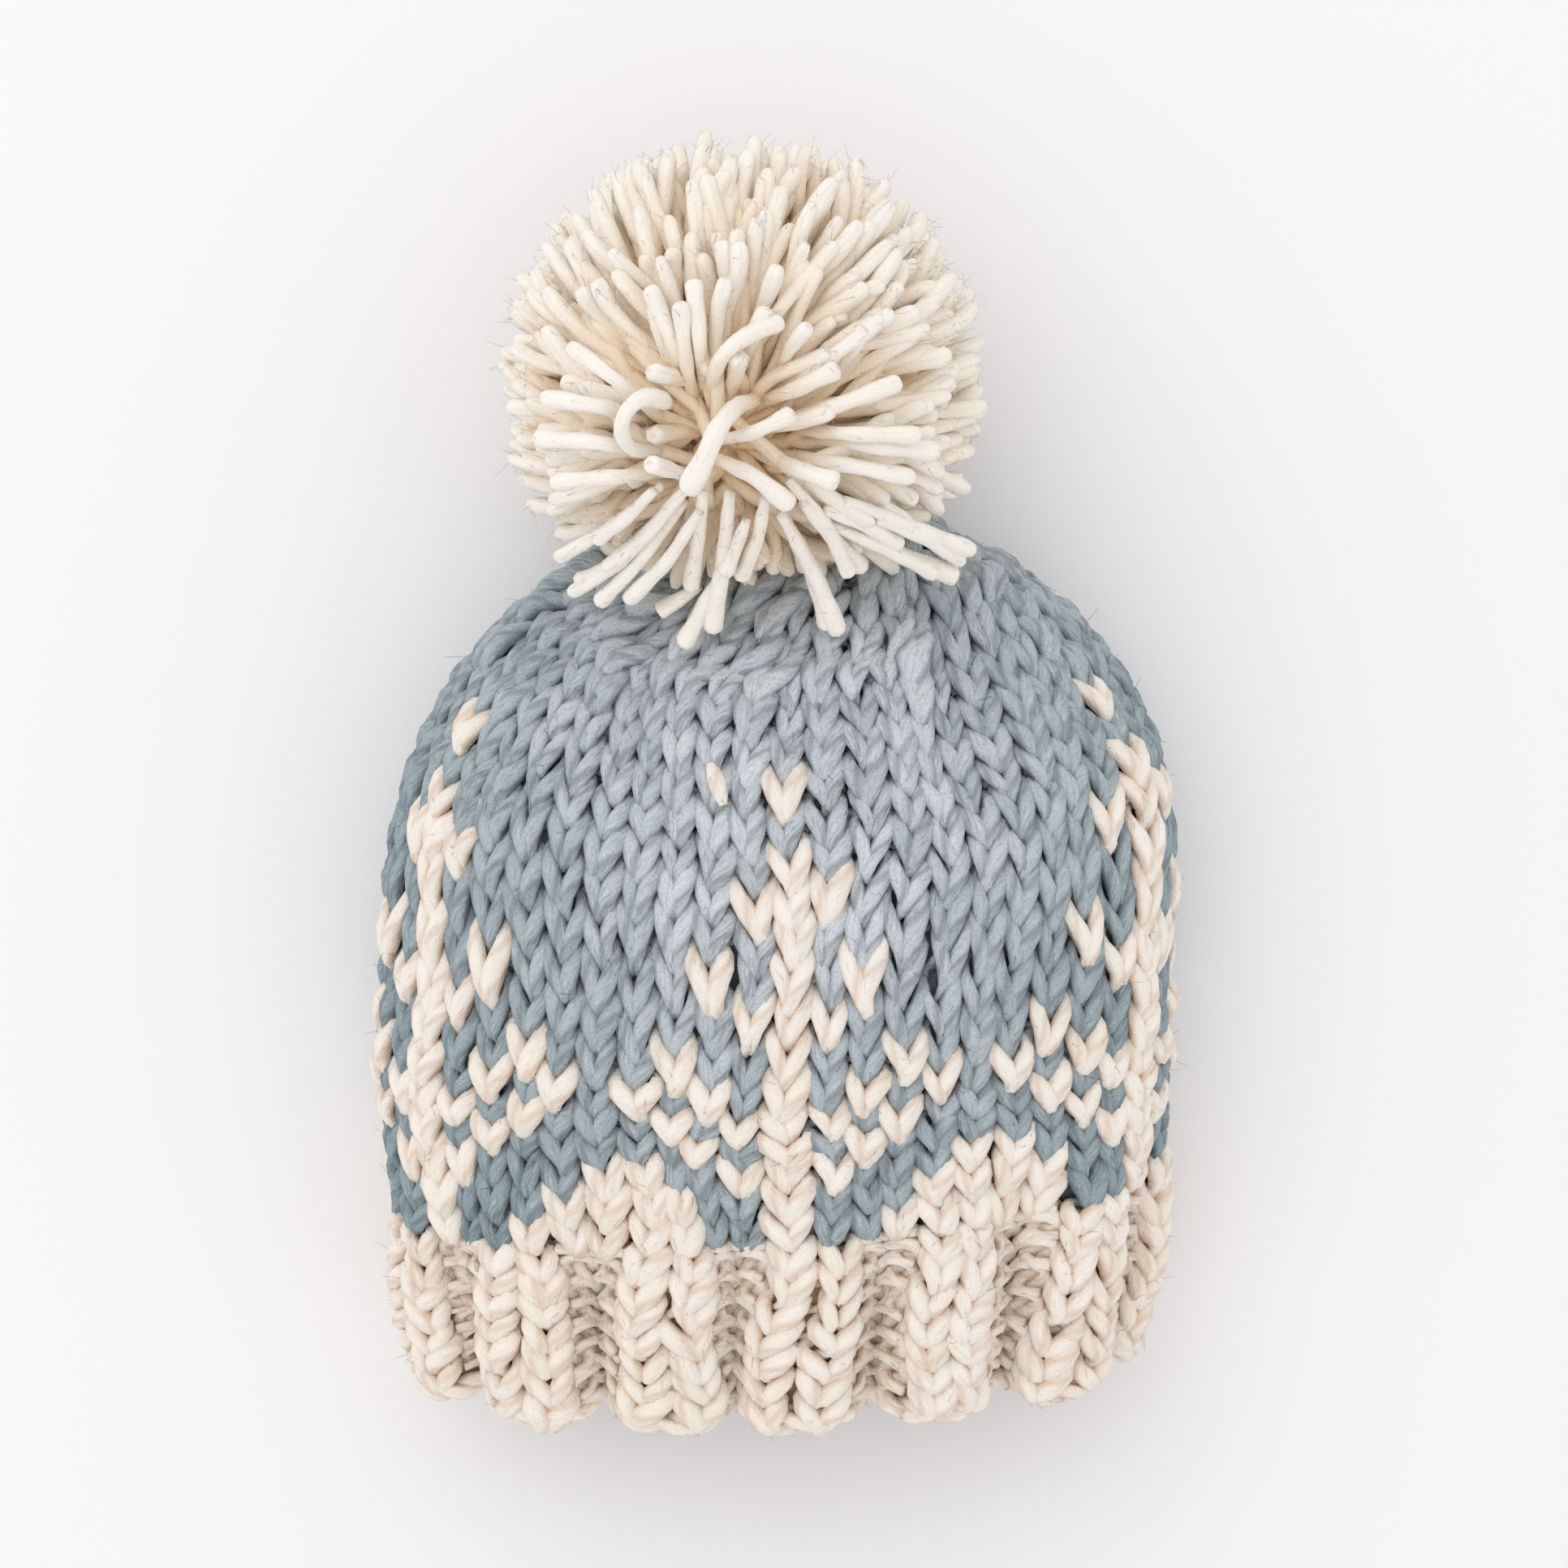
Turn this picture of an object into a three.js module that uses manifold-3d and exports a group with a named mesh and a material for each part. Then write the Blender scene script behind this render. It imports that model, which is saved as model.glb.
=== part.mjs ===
// A hand-knit baby's bobble hat lying on its back: a hollow crown, a hollow 2x2 rib brim,
// the two bundles of a ball of cut yarn and the tie that holds the ball to the crown's tip.
// Millimetres, +Z up, the crown towards +Y, the open brim towards -Y, the hat's front facing up.
// While the pieces are made, y is 0 where the rib meets the crown and x is 0 on the hat's centre line.
import * as THREE from "three";
import { mergeVertices } from "three/addons/utils/BufferGeometryUtils.js";
import Module from "manifold-3d";

// Driving dimensions
const hatHalfWidth = 82.5; // outside of the knit, at the widest row
const lyingHeight = 61; // outside of the knit, table to the top of the front
const crownLength = 140; // from the rib to the closed tip
const domeLength = 70; // the part of the crown that rounds over to the tip
const ribLength = 37; // from the cast-on edge to the crown
const wallThickness = 6; // bulky yarn knitted in two colours
const tipHeight = 24; // the closed tip above the table
const frontLean = 13; // how far the front lies ahead of the back, towards the brim
const rowSlant = 2.5; // how much further up the right side the rib starts
const ribDepth = 5; // how far the purl valleys sink at the cast-on edge
const scallopDepth = 5; // how far the cast-on edge draws up in a valley
const gatherDepth = 2.4; // how far the lines of decreases sink
const pompomRadius = 49;
const pompomSettle = 1.5; // how far the ball's weight presses its tips down
const pompomPastTip = 19; // the ball's centre beyond the tip
const pompomAside = -7; // and to the left of the centre line
const lockTipRadius = 5.8;
const lockRootRadius = 8.2;
const tieRadius = 2.3;
const pieceGap = 0.3; // between neighbouring pieces
const restGap = 0.2; // the ball's lowest tips above the table

// What repeats
const ribCount = 12;
const gatherCount = 10;
const lockCount = 86;

// Shares of the lying section, chosen by hand
const widestShare = 0.42; // height of the widest point, of the section's own height
const topRoundness = 2.25; // exponent of the rounded front
const backRoundness = 2.9; // exponent of the flatter back
const restShare = 0.88; // where the back's curve meets its flat resting face
const backRise = 0.6; // exponent of the back's rise to the tip
const ribCentreShare = 0.0165; // the middle rib's centre, of the way round from the centre line

// How the outline swells from the cast-on edge to the dome
const outline = [
  { along: 0.0, width: 0.932, height: 0.9 },
  { along: 0.18, width: 0.965, height: 0.95 },
  { along: 0.36, width: 0.988, height: 0.985 },
  { along: 0.7, width: 1.0, height: 1.0 },
  { along: 1.0, width: 0.994, height: 1.0 },
];

// Shares of the ball's radius, chosen by hand
const headShare = 0.74; // the head that the locks are fused to
const lockRootShare = 0.45; // where a lock starts
const unevenShare = 0.035; // how much shorter the shortest trimmed locks are
const middleDip = 0.22; // how much shorter the yarn is over its middle
const frontHang = 0.16; // how much longer it hangs over the crown's front
const poleTilt = 0.3; // radians that the ball's middle faces towards the brim
const waistShare = 0.26; // how far below its centre the ball's two tied bundles part
const hangDirection = new THREE.Vector3(-0.15, -0.97, 0.2);

// The tie's way from the ball's heart over its middle, as shares of the ball's radius
const tieRoute = [
  { x: 0, y: 0, z: 0 },
  { x: 0.03, y: -0.1, z: 0.4 },
  { x: 0.06, y: -0.19, z: 0.7 },
  { x: -0.04, y: -0.34, z: 0.8 },
  { x: -0.17, y: -0.51, z: 0.77 },
];

// Grid of each piece
const sampleCount = 720; // points along a section before it is divided evenly
const pointsAround = 72;
const crownStraightRows = 7;
const crownDomeRows = 9;
const ribRows = 6;
const lockSides = 5;
const tieSteps = 20;

const straightLength = crownLength - domeLength;
const crownColour = 0xa2aaaf;
const creamColour = 0xe6dccf;
const pompomColour = 0xe8d9c5;

// Width and height of the outline at a place along the hat, between two rows of the table.
function outlineAt(y) {
  const along = THREE.MathUtils.clamp((y + ribLength) / (straightLength + ribLength), 0, 1);
  let k = 0;
  while (k < outline.length - 2 && along > outline[k + 1].along) k += 1;
  const low = outline[k];
  const high = outline[k + 1];
  const blend = (along - low.along) / (high.along - low.along);
  return {
    width: THREE.MathUtils.lerp(low.width, high.width, blend),
    height: THREE.MathUtils.lerp(low.height, high.height, blend),
  };
}

// The size of the section at a station, `inside` deep in the wall. A station runs from -1 at the
// cast-on edge through 0 at the rib's top and 1 where the dome starts to 2 at the tip. Over the dome
// the width and height close like an ellipse.
function stationAt(station, inside) {
  if (station <= 1) {
    const y = station * (station < 0 ? ribLength : straightLength);
    const share = outlineAt(y);
    return {
      y,
      half: hatHalfWidth * share.width - inside,
      top: lyingHeight * share.height - inside,
      bottom: inside,
      turn: 0,
    };
  }
  const turn = ((station - 1) * Math.PI) / 2;
  const closing = Math.cos(turn);
  const end = outline[outline.length - 1];
  return {
    y: straightLength + (domeLength - inside) * Math.sin(turn),
    half: (hatHalfWidth * end.width - inside) * closing,
    top: tipHeight + (lyingHeight * end.height - inside - tipHeight) * closing,
    bottom: tipHeight - (tipHeight - inside) * closing ** backRise,
    turn,
  };
}

// One section as points evenly spaced along its edge, from the middle of the front towards the right,
// each with its outward normal: an oval, fuller below, cut off flat where it rests.
function sectionPoints(size) {
  const middle = size.bottom + (size.top - size.bottom) * widestShare;
  const edge = [];
  for (let i = 0; i <= sampleCount; i += 1) {
    const angle = (2 * Math.PI * i) / sampleCount;
    const up = Math.cos(angle);
    const across = Math.sin(angle);
    const power = 2 / (up > 0 ? topRoundness : backRoundness);
    const rise = Math.sign(up) * Math.abs(up) ** power;
    const z = up > 0
      ? middle + (size.top - middle) * rise
      : Math.max(middle + ((middle - size.bottom) / restShare) * rise, size.bottom);
    edge.push(new THREE.Vector2(size.half * Math.sign(across) * Math.abs(across) ** power, z));
  }
  const lengths = [0];
  for (let i = 1; i <= sampleCount; i += 1) lengths.push(lengths[i - 1] + edge[i].distanceTo(edge[i - 1]));
  const points = [];
  let k = 0;
  for (let i = 0; i < pointsAround; i += 1) {
    const target = (lengths[sampleCount] * i) / pointsAround;
    while (lengths[k + 1] <= target) k += 1;
    points.push(edge[k].clone().lerp(edge[k + 1], (target - lengths[k]) / (lengths[k + 1] - lengths[k])));
  }
  return points.map((point, i) => {
    const before = points[(i + pointsAround - 1) % pointsAround];
    const along = points[(i + 1) % pointsAround].clone().sub(before).normalize();
    return { x: point.x, z: point.y, nx: -along.y, nz: along.x, share: i / pointsAround };
  });
}

// 0 on a rib's crest and 1 in the valley beside it; the crests are wider than the valleys.
function valleyAt(share) {
  return (0.5 - 0.5 * Math.cos(2 * Math.PI * ribCount * (share - ribCentreShare))) ** 1.5;
}

// How far the wall sinks at a share of the way round: into the rib's valleys, which deepen towards
// the cast-on edge, and into the lines of decreases on the dome.
function sinkAt(station, turn, share) {
  if (station < 0) return ribDepth * valleyAt(share) * Math.sin((-station * Math.PI) / 2);
  const line = 0.5 + 0.5 * Math.cos(2 * Math.PI * gatherCount * share);
  return gatherDepth * line ** 2 * Math.sin(turn) * Math.sin(2 * turn);
}

// A ring of points on the wall, `inside` deep in it, moved along the hat by `shift`. Its plane leans
// with the front, and the rib starts further up on the right.
function wallRing(station, inside, shift) {
  const size = stationAt(station, inside);
  const fade = Math.cos(size.turn);
  const slantFade = THREE.MathUtils.clamp(1 - station, 0, 1);
  const edgeShare = Math.max(-station, 0);
  return sectionPoints(size).map((point) => {
    const sink = sinkAt(station, size.turn, point.share);
    const x = point.x - sink * point.nx;
    const z = point.z - sink * point.nz;
    const lean = ((frontLean * z) / lyingHeight) * fade;
    const slant = ((rowSlant * x) / hatHalfWidth) * slantFade;
    const scallop = scallopDepth * valleyAt(point.share) * edgeShare ** 3;
    return new THREE.Vector3(x, size.y + shift - lean + slant + scallop, z);
  });
}

// A closed surface through rings of points with faces outwards. A start or end that is a point
// closes the surface there; with neither, the last ring joins the first.
function surfaceThrough(rings, start, end) {
  const positions = [];
  const faces = [];
  const add = (point) => positions.push(point.x, point.y, point.z) / 3 - 1;
  const rows = rings.map((ring) => ring.map(add));
  const next = (i) => (i + 1) % pointsAround;
  const band = (from, to) => {
    from.forEach((a, i) => faces.push(a, from[next(i)], to[i], from[next(i)], to[next(i)], to[i]));
  };
  const cap = (row, pole, forwards) => {
    row.forEach((a, i) => faces.push(...(forwards ? [a, row[next(i)], pole] : [row[next(i)], a, pole])));
  };
  for (let j = 1; j < rows.length; j += 1) band(rows[j - 1], rows[j]);
  if (start) cap(rows[0], add(start), false);
  if (end) cap(rows[rows.length - 1], add(end), true);
  if (!start && !end) band(rows[rows.length - 1], rows[0]);
  const geometry = new THREE.BufferGeometry();
  geometry.setAttribute("position", new THREE.Float32BufferAttribute(positions, 3));
  geometry.setIndex(faces);
  return geometry;
}

// The crown's stations: even rows up the straight part, then over the dome.
function crownStations() {
  const stations = [];
  for (let j = 0; j <= crownStraightRows; j += 1) stations.push(j / crownStraightRows);
  for (let j = 1; j < crownDomeRows; j += 1) stations.push(1 + j / crownDomeRows);
  return stations;
}

const crownShift = pieceGap / 2;

function crownTip(inside) {
  return new THREE.Vector3(0, crownLength + crownShift - inside, tipHeight);
}

// The crown's hollow wall: from the inner tip down to the rib, round the open edge and up to the tip.
function crownGeometry() {
  const inner = crownStations().reverse().map((station) => wallRing(station, wallThickness, crownShift));
  const outer = crownStations().map((station) => wallRing(station, 0, crownShift));
  return surfaceThrough([...inner, ...outer], crownTip(wallThickness), crownTip(0));
}

// The rib's wall, open at both ends.
function ribGeometry() {
  const stations = [];
  for (let j = 0; j <= ribRows; j += 1) stations.push(-1 + j / ribRows);
  const outer = stations.map((station) => wallRing(station, 0, -crownShift));
  const inner = stations.reverse().map((station) => wallRing(station, wallThickness, -crownShift));
  return surfaceThrough([...outer, ...inner]);
}

// The crown's outside grown by a clearance and filled: the room that it takes out of the ball.
function crownRoomGeometry(clearance) {
  const rings = crownStations().map((station) => wallRing(station, -clearance, crownShift));
  const mouthY = rings[0].reduce((sum, point) => sum + point.y, 0) / pointsAround;
  const mouth = new THREE.Vector3(0, mouthY, tipHeight);
  return surfaceThrough(rings, mouth, crownTip(-clearance));
}

const wasm = await Module();
wasm.setup();

function solidOf(geometry) {
  const bare = geometry.clone();
  bare.deleteAttribute("normal");
  bare.deleteAttribute("uv");
  const merged = mergeVertices(bare, 1e-4);
  return new wasm.Manifold(
    new wasm.Mesh({
      numProp: 3,
      vertProperties: new Float32Array(merged.attributes.position.array),
      triVerts: new Uint32Array(merged.index.array),
    }),
  );
}

function geometryOf(solid) {
  const mesh = solid.getMesh();
  const geometry = new THREE.BufferGeometry();
  geometry.setAttribute("position", new THREE.BufferAttribute(mesh.vertProperties, 3));
  geometry.setIndex(new THREE.BufferAttribute(mesh.triVerts, 1));
  return geometry;
}

const pompomCentre = new THREE.Vector3(pompomAside, crownLength + pompomPastTip, pompomRadius - pompomSettle);
const poleDirection = new THREE.Vector3(0, -Math.sin(poleTilt), Math.cos(poleTilt));

// The tie's run from the tip through the ball's heart and over its middle.
function tieGeometry(radius) {
  const start = crownTip(-pieceGap - tieRadius);
  const overBall = tieRoute.map(({ x, y, z }) =>
    new THREE.Vector3(x, y, z).multiplyScalar(pompomRadius).add(pompomCentre),
  );
  const route = new THREE.CatmullRomCurve3([start, start.clone().lerp(pompomCentre, 0.5), ...overBall]);
  const circle = new THREE.Shape();
  circle.absarc(0, 0, radius, 0, 2 * Math.PI);
  return new THREE.ExtrudeGeometry(circle, { steps: tieSteps, extrudePath: route, curveSegments: 4 });
}

// How long a lock is in a direction: full round the ball, short in the middle where the yarn is
// tied, longer where it hangs over the crown's front, and cut off by the table.
function lockLength(direction, number) {
  const uneven = 1 - unevenShare * (0.5 + 0.5 * Math.sin(7.3 * number));
  const middle = 1 - middleDip * THREE.MathUtils.smoothstep(direction.dot(poleDirection), 0.86, 1);
  const hang = 1 + frontHang * THREE.MathUtils.smoothstep(direction.dot(hangDirection), 0.8, 1);
  const free = pompomRadius * uneven * middle * hang;
  if (direction.z >= 0) return free;
  const across = Math.sqrt(1 - direction.z ** 2);
  return Math.min(free, (pompomCentre.z - restGap - lockTipRadius * across) / -direction.z);
}

// A blunt lock from inside the head out to its cut end.
function lockGeometry(direction, length) {
  const rootAt = pompomRadius * lockRootShare;
  const lock = new THREE.CylinderGeometry(lockTipRadius, lockRootRadius, length - rootAt, lockSides);
  lock.translate(0, (length + rootAt) / 2, 0);
  lock.applyQuaternion(new THREE.Quaternion().setFromUnitVectors(new THREE.Vector3(0, 1, 0), direction));
  return lock.translate(pompomCentre.x, pompomCentre.y, pompomCentre.z);
}

// Without the crumbs that a cut leaves at a lock's corner.
function largestBody(solid) {
  return solid.decompose().sort((a, b) => b.volume() - a.volume())[0];
}

// The ball of yarn: a head with locks spread evenly over it, less room for the crown and the tie. It
// parts at its waist into the bundle on the hat's front and the bundle on its back.
function pompomBundles() {
  const head = new THREE.IcosahedronGeometry(pompomRadius * headShare, 2);
  head.translate(pompomCentre.x, pompomCentre.y, pompomCentre.z);
  let ball = solidOf(head);
  const goldenAngle = Math.PI * (3 - Math.sqrt(5));
  for (let i = 0; i < lockCount; i += 1) {
    const z = 1 - (2 * i + 1) / lockCount;
    const across = Math.sqrt(1 - z ** 2);
    const turn = goldenAngle * i;
    const direction = new THREE.Vector3(across * Math.cos(turn), across * Math.sin(turn), z);
    ball = ball.add(solidOf(lockGeometry(direction, lockLength(direction, i))));
  }
  ball = ball.subtract(solidOf(crownRoomGeometry(pieceGap)));
  ball = ball.subtract(solidOf(tieGeometry(tieRadius + pieceGap)));
  const waist = pompomCentre.z - pompomRadius * waistShare;
  const front = ball.trimByPlane([0, 0, 1], waist + pieceGap / 2);
  const back = ball.trimByPlane([0, 0, -1], pieceGap / 2 - waist);
  return [front, back].map((bundle) => geometryOf(largestBody(bundle)));
}

function piece(name, geometry, color) {
  geometry.computeVertexNormals();
  const material = new THREE.MeshStandardMaterial({ color, roughness: 0.95, metalness: 0 });
  const mesh = new THREE.Mesh(geometry, material);
  mesh.name = name;
  return mesh;
}

const [frontBundle, backBundle] = pompomBundles();
const hat = new THREE.Group();
hat.add(piece("crown_body", crownGeometry(), crownColour));
hat.add(piece("rib_brim", ribGeometry(), creamColour));
hat.add(piece("pompom_front", frontBundle, pompomColour));
hat.add(piece("pompom_back", backBundle, pompomColour));
hat.add(piece("pompom_tie", tieGeometry(tieRadius), pompomColour));

// The origin is under the middle of the whole hat, on the table.
const bounds = new THREE.Box3().setFromObject(hat);
hat.position.set(-(bounds.min.x + bounds.max.x) / 2, -(bounds.min.y + bounds.max.y) / 2, -bounds.min.z);

export default hat;
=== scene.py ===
# A hand-knit baby's bobble hat lying on its back, seen from straight above.
# Every stitch is a loop of yarn carried on the hat's surface; the pompom is cut strands.
import bpy
import numpy as np
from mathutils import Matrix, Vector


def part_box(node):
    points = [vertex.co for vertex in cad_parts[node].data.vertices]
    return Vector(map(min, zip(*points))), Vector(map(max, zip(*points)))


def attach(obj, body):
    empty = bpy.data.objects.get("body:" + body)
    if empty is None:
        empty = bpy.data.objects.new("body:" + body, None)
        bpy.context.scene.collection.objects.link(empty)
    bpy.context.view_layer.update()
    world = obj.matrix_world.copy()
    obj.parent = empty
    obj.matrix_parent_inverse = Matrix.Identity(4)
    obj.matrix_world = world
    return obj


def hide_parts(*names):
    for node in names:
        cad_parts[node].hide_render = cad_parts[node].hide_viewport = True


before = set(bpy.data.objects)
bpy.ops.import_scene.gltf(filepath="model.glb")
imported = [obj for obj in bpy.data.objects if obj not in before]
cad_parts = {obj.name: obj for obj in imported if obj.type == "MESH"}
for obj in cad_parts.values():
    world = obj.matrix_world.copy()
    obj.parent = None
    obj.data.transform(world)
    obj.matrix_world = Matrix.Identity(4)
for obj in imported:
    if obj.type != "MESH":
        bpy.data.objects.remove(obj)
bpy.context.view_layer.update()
crownLow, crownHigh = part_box("crown_body")
rng = np.random.default_rng(11)

# The hat's own form, in metres. Shares are of the section's or the outline's own size.
hat = {
    "halfWidth": 0.0825,
    "lyingHeight": 0.061,
    "crownLength": 0.140,
    "domeLength": 0.070,
    "ribLength": 0.037,
    "tipHeight": 0.024,
    "frontLean": 0.013,
    "ribDepth": 0.0085,
    "ribPuff": 0.0012,
    "scallopDepth": 0.005,
    "valleyAboveRib": 0.0042,
    "gatherDepth": 0.0012,
    "middleOfWall": 0.0034,
    "pieceGap": 0.0003,
    "widestShare": 0.42,
    "topRoundness": 2.25,
    "backRoundness": 2.9,
    "restShare": 0.88,
    "backRise": 0.6,
}
outline = {
    "along": [0.0, 0.18, 0.36, 0.7, 1.0],
    "width": [0.932, 0.965, 0.988, 1.0, 0.994],
    "height": [0.9, 0.95, 0.985, 1.0, 1.0],
}
# How a row lies askew, by station: further up the right side all the way, and further up both sides near
# the rib but further down them near the dome.
rowLie = {
    "station": [-1.0, 0.0, 0.9, 1.5, 2.0],
    "slant": [0.0025, 0.0055, 0.0085, 0.004, 0.0],
    "arch": [0.005, 0.005, -0.004, -0.002, 0.0],
}
axisX = (crownLow.x + crownHigh.x) / 2
jointY = crownHigh.y - hat["crownLength"] - hat["pieceGap"] / 2

# The knitting: columns are counted from the middle tree's trunk, rows from the rib upwards.
knit = {
    "crownColumns": 50,
    "ribColumns": 48,
    "treeSpacing": 10,
    "patternRows": 14,
    "domeSectorStitches": [5, 5, 5, 4, 4, 3, 3, 2, 2, 1, 1],
    "sectors": 10,
    "ribRows": 7,
    "trunkShare": 0.006,
    "domeTwist": 0.27,
    "rowMarks": [0, 3, 5, 6, 8, 10, 12, 13, 17],
    "markShares": [0.0, 0.106, 0.163, 0.199, 0.291, 0.403, 0.495, 0.534, 0.71],
    "pitchPast": 0.0445,
    "frontColumns": 12,
    "driftWaves": 16,
    "driftTurns": 15,
    "driftAlong": 1.1,
    "driftColumns": 0.13,
    "driftRows": 0.13,
    "driftDepth": 0.00035,
    "ribRepeat": 4,
    "pairMiddle": 0.5,
    "valleyPower": 1.5,
    "valleyReach": 14,
    "valleyFade": 2,
    "valleyRise": 0.3,
}
knit["crownRows"] = knit["patternRows"] + len(knit["domeSectorStitches"])

# How finely the surface is worked out: round a section, by column, by row and by station.
fineness = {
    "ringSteps": 1440,
    "ahead": 0.002,
    "perColumn": 16,
    "perRow": 10,
    "bodyStations": 60,
    "domeStations": 141,
    "ribPast": 1.06,
    "ribStep": 0.01,
}

# One repeat of the colourwork, top row first, a trunk at the left: x is cream yarn.
chart = [
    "x.........",
    "..........",
    "x.........",
    "xx.......x",
    "x.........",
    "x.x.....x.",
    "xx.......x",
    "x..x...x..",
    "x.x.x.x.x.",
    "xx.x...x.x",
    "x.x.....x.",
    "xx...xx..x",
    "x...xxxx..",
    "x..xxxxx..",
]


# Steps summed up along an axis, from nothing.
def summed(step, axis):
    sums = np.cumsum(step, axis=axis)
    return np.concatenate([np.zeros_like(np.take(sums, [0], axis=axis)), sums], axis=axis)


# Evenly spaced points round each station's section. A section is an oval, |x/a|^n + |z/b|^n = 1, with
# one exponent above its widest height and another below, cut off flat where it rests; a station runs
# from -1 at the cast-on edge through 0 at the rib's top and 1 at the dome's start to 2 at the tip.
def sectionRings(stations, shares, inside):
    straight = hat["crownLength"] - hat["domeLength"]
    yStraight = np.where(stations < 0, stations * hat["ribLength"], stations * straight)
    along = np.clip((yStraight + hat["ribLength"]) / (straight + hat["ribLength"]), 0, 1)
    turn = np.clip(stations - 1, 0, 1) * np.pi / 2
    closing = np.cos(turn)
    inDome = stations > 1
    half = (hat["halfWidth"] * np.interp(along, outline["along"], outline["width"]) - inside) * closing
    top = hat["lyingHeight"] * np.interp(along, outline["along"], outline["height"]) - inside
    top = np.where(inDome, hat["tipHeight"] + (top - hat["tipHeight"]) * closing, top)
    bottom = hat["tipHeight"] - (hat["tipHeight"] - inside) * np.maximum(closing, 0) ** hat["backRise"]
    yRing = np.where(inDome, straight + (hat["domeLength"] - inside) * np.sin(turn), yStraight)
    middle = bottom + (top - bottom) * hat["widestShare"]

    angle = np.linspace(0, 2 * np.pi, fineness["ringSteps"] + 1)
    up = np.cos(angle)[None, :]
    across = np.sin(angle)[None, :]
    power = np.where(up > 0, 2 / hat["topRoundness"], 2 / hat["backRoundness"])
    rise = np.sign(up) * np.abs(up) ** power
    above = middle[:, None] + (top - middle)[:, None] * rise
    below = middle[:, None] + ((middle - bottom) / hat["restShare"])[:, None] * rise
    z = np.where(up > 0, above, np.maximum(below, bottom[:, None]))
    x = half[:, None] * np.sign(across) * np.abs(across) ** power
    length = summed(np.hypot(np.diff(x, axis=1), np.diff(z, axis=1)), 1)
    length /= length[:, -1:]
    wrapped = np.mod(shares, 1.0)
    xs = np.stack([np.interp(wrapped[i], length[i], x[i]) for i in range(len(stations))])
    zs = np.stack([np.interp(wrapped[i], length[i], z[i]) for i in range(len(stations))])
    return xs, zs, yRing, turn


# Points on the middle of the wall for a grid of stations and shares of the way round. The section
# plane leans towards the brim with height, and each row lies askew as the table says.
def wallPoints(stations, shares, sink, lift):
    xs, zs, yRing, turn = sectionRings(stations, shares, hat["middleOfWall"])
    ahead = fineness["ahead"]
    xa, za, _, _ = sectionRings(stations, shares + ahead, hat["middleOfWall"])
    xb, zb, _, _ = sectionRings(stations, shares - ahead, hat["middleOfWall"])
    tangentX = xa - xb
    tangentZ = za - zb
    size = np.maximum(np.hypot(tangentX, tangentZ), 1e-9)
    x = xs + sink * tangentZ / size
    z = zs - sink * tangentX / size
    fade = np.cos(turn)[:, None]
    lean = hat["frontLean"] * zs / hat["lyingHeight"] * fade
    slant = np.interp(stations, rowLie["station"], rowLie["slant"])[:, None] * xs / hat["halfWidth"]
    arch = np.interp(stations, rowLie["station"], rowLie["arch"])[:, None] * (1 - zs / hat["lyingHeight"])
    y = yRing[:, None] - lean + slant + arch + lift
    return np.stack([x + axisX, y + jointY, z], axis=-1)


# Vectors divided by their own length.
def unit(vectors):
    return vectors / np.maximum(np.linalg.norm(vectors, axis=-1, keepdims=True), 1e-12)


# A patch of knitting that can be asked for points: rows of positions and of outward normals, which are
# the cross product of the ways along a row and up a column.
def makePatch(points, rowLow, rowStep, columnLow, columnStep, columns):
    alongRow = np.gradient(points, axis=1)
    alongColumn = np.gradient(points, axis=0)
    return {
        "points": points,
        "normals": unit(np.cross(alongRow, alongColumn)),
        "rowLow": rowLow,
        "rowStep": rowStep,
        "columnLow": columnLow,
        "columnStep": columnStep,
        "columns": columns,
    }


# Bilinear lookup of a patch at columns c and rows v, moved h along the normal.
def onPatch(patch, c, v, h):
    points = patch["points"]
    wrapped = np.mod(c - patch["columnLow"], patch["columns"]) / patch["columnStep"]
    row = np.clip((v - patch["rowLow"]) / patch["rowStep"], 0, points.shape[0] - 1.001)
    i = row.astype(int)
    j = np.minimum(wrapped.astype(int), points.shape[1] - 2)
    fi = (row - i)[..., None]
    fj = (wrapped - j)[..., None]

    def blend(grid):
        low = grid[i, j] * (1 - fj) + grid[i, j + 1] * fj
        high = grid[i + 1, j] * (1 - fj) + grid[i + 1, j + 1] * fj
        return low * (1 - fi) + high * fi

    normal = unit(blend(patch["normals"]))
    return blend(points) + normal * h[..., None], normal


# The rib's valleys by column, 0 along the middle of a knit pair and 1 along that of a purl pair: half of
# one minus a cosine, raised to a power.
def ribValleys(c):
    wave = 0.5 - 0.5 * np.cos(2 * np.pi * (c - knit["pairMiddle"]) / knit["ribRepeat"])
    return wave ** knit["valleyPower"]


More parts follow.
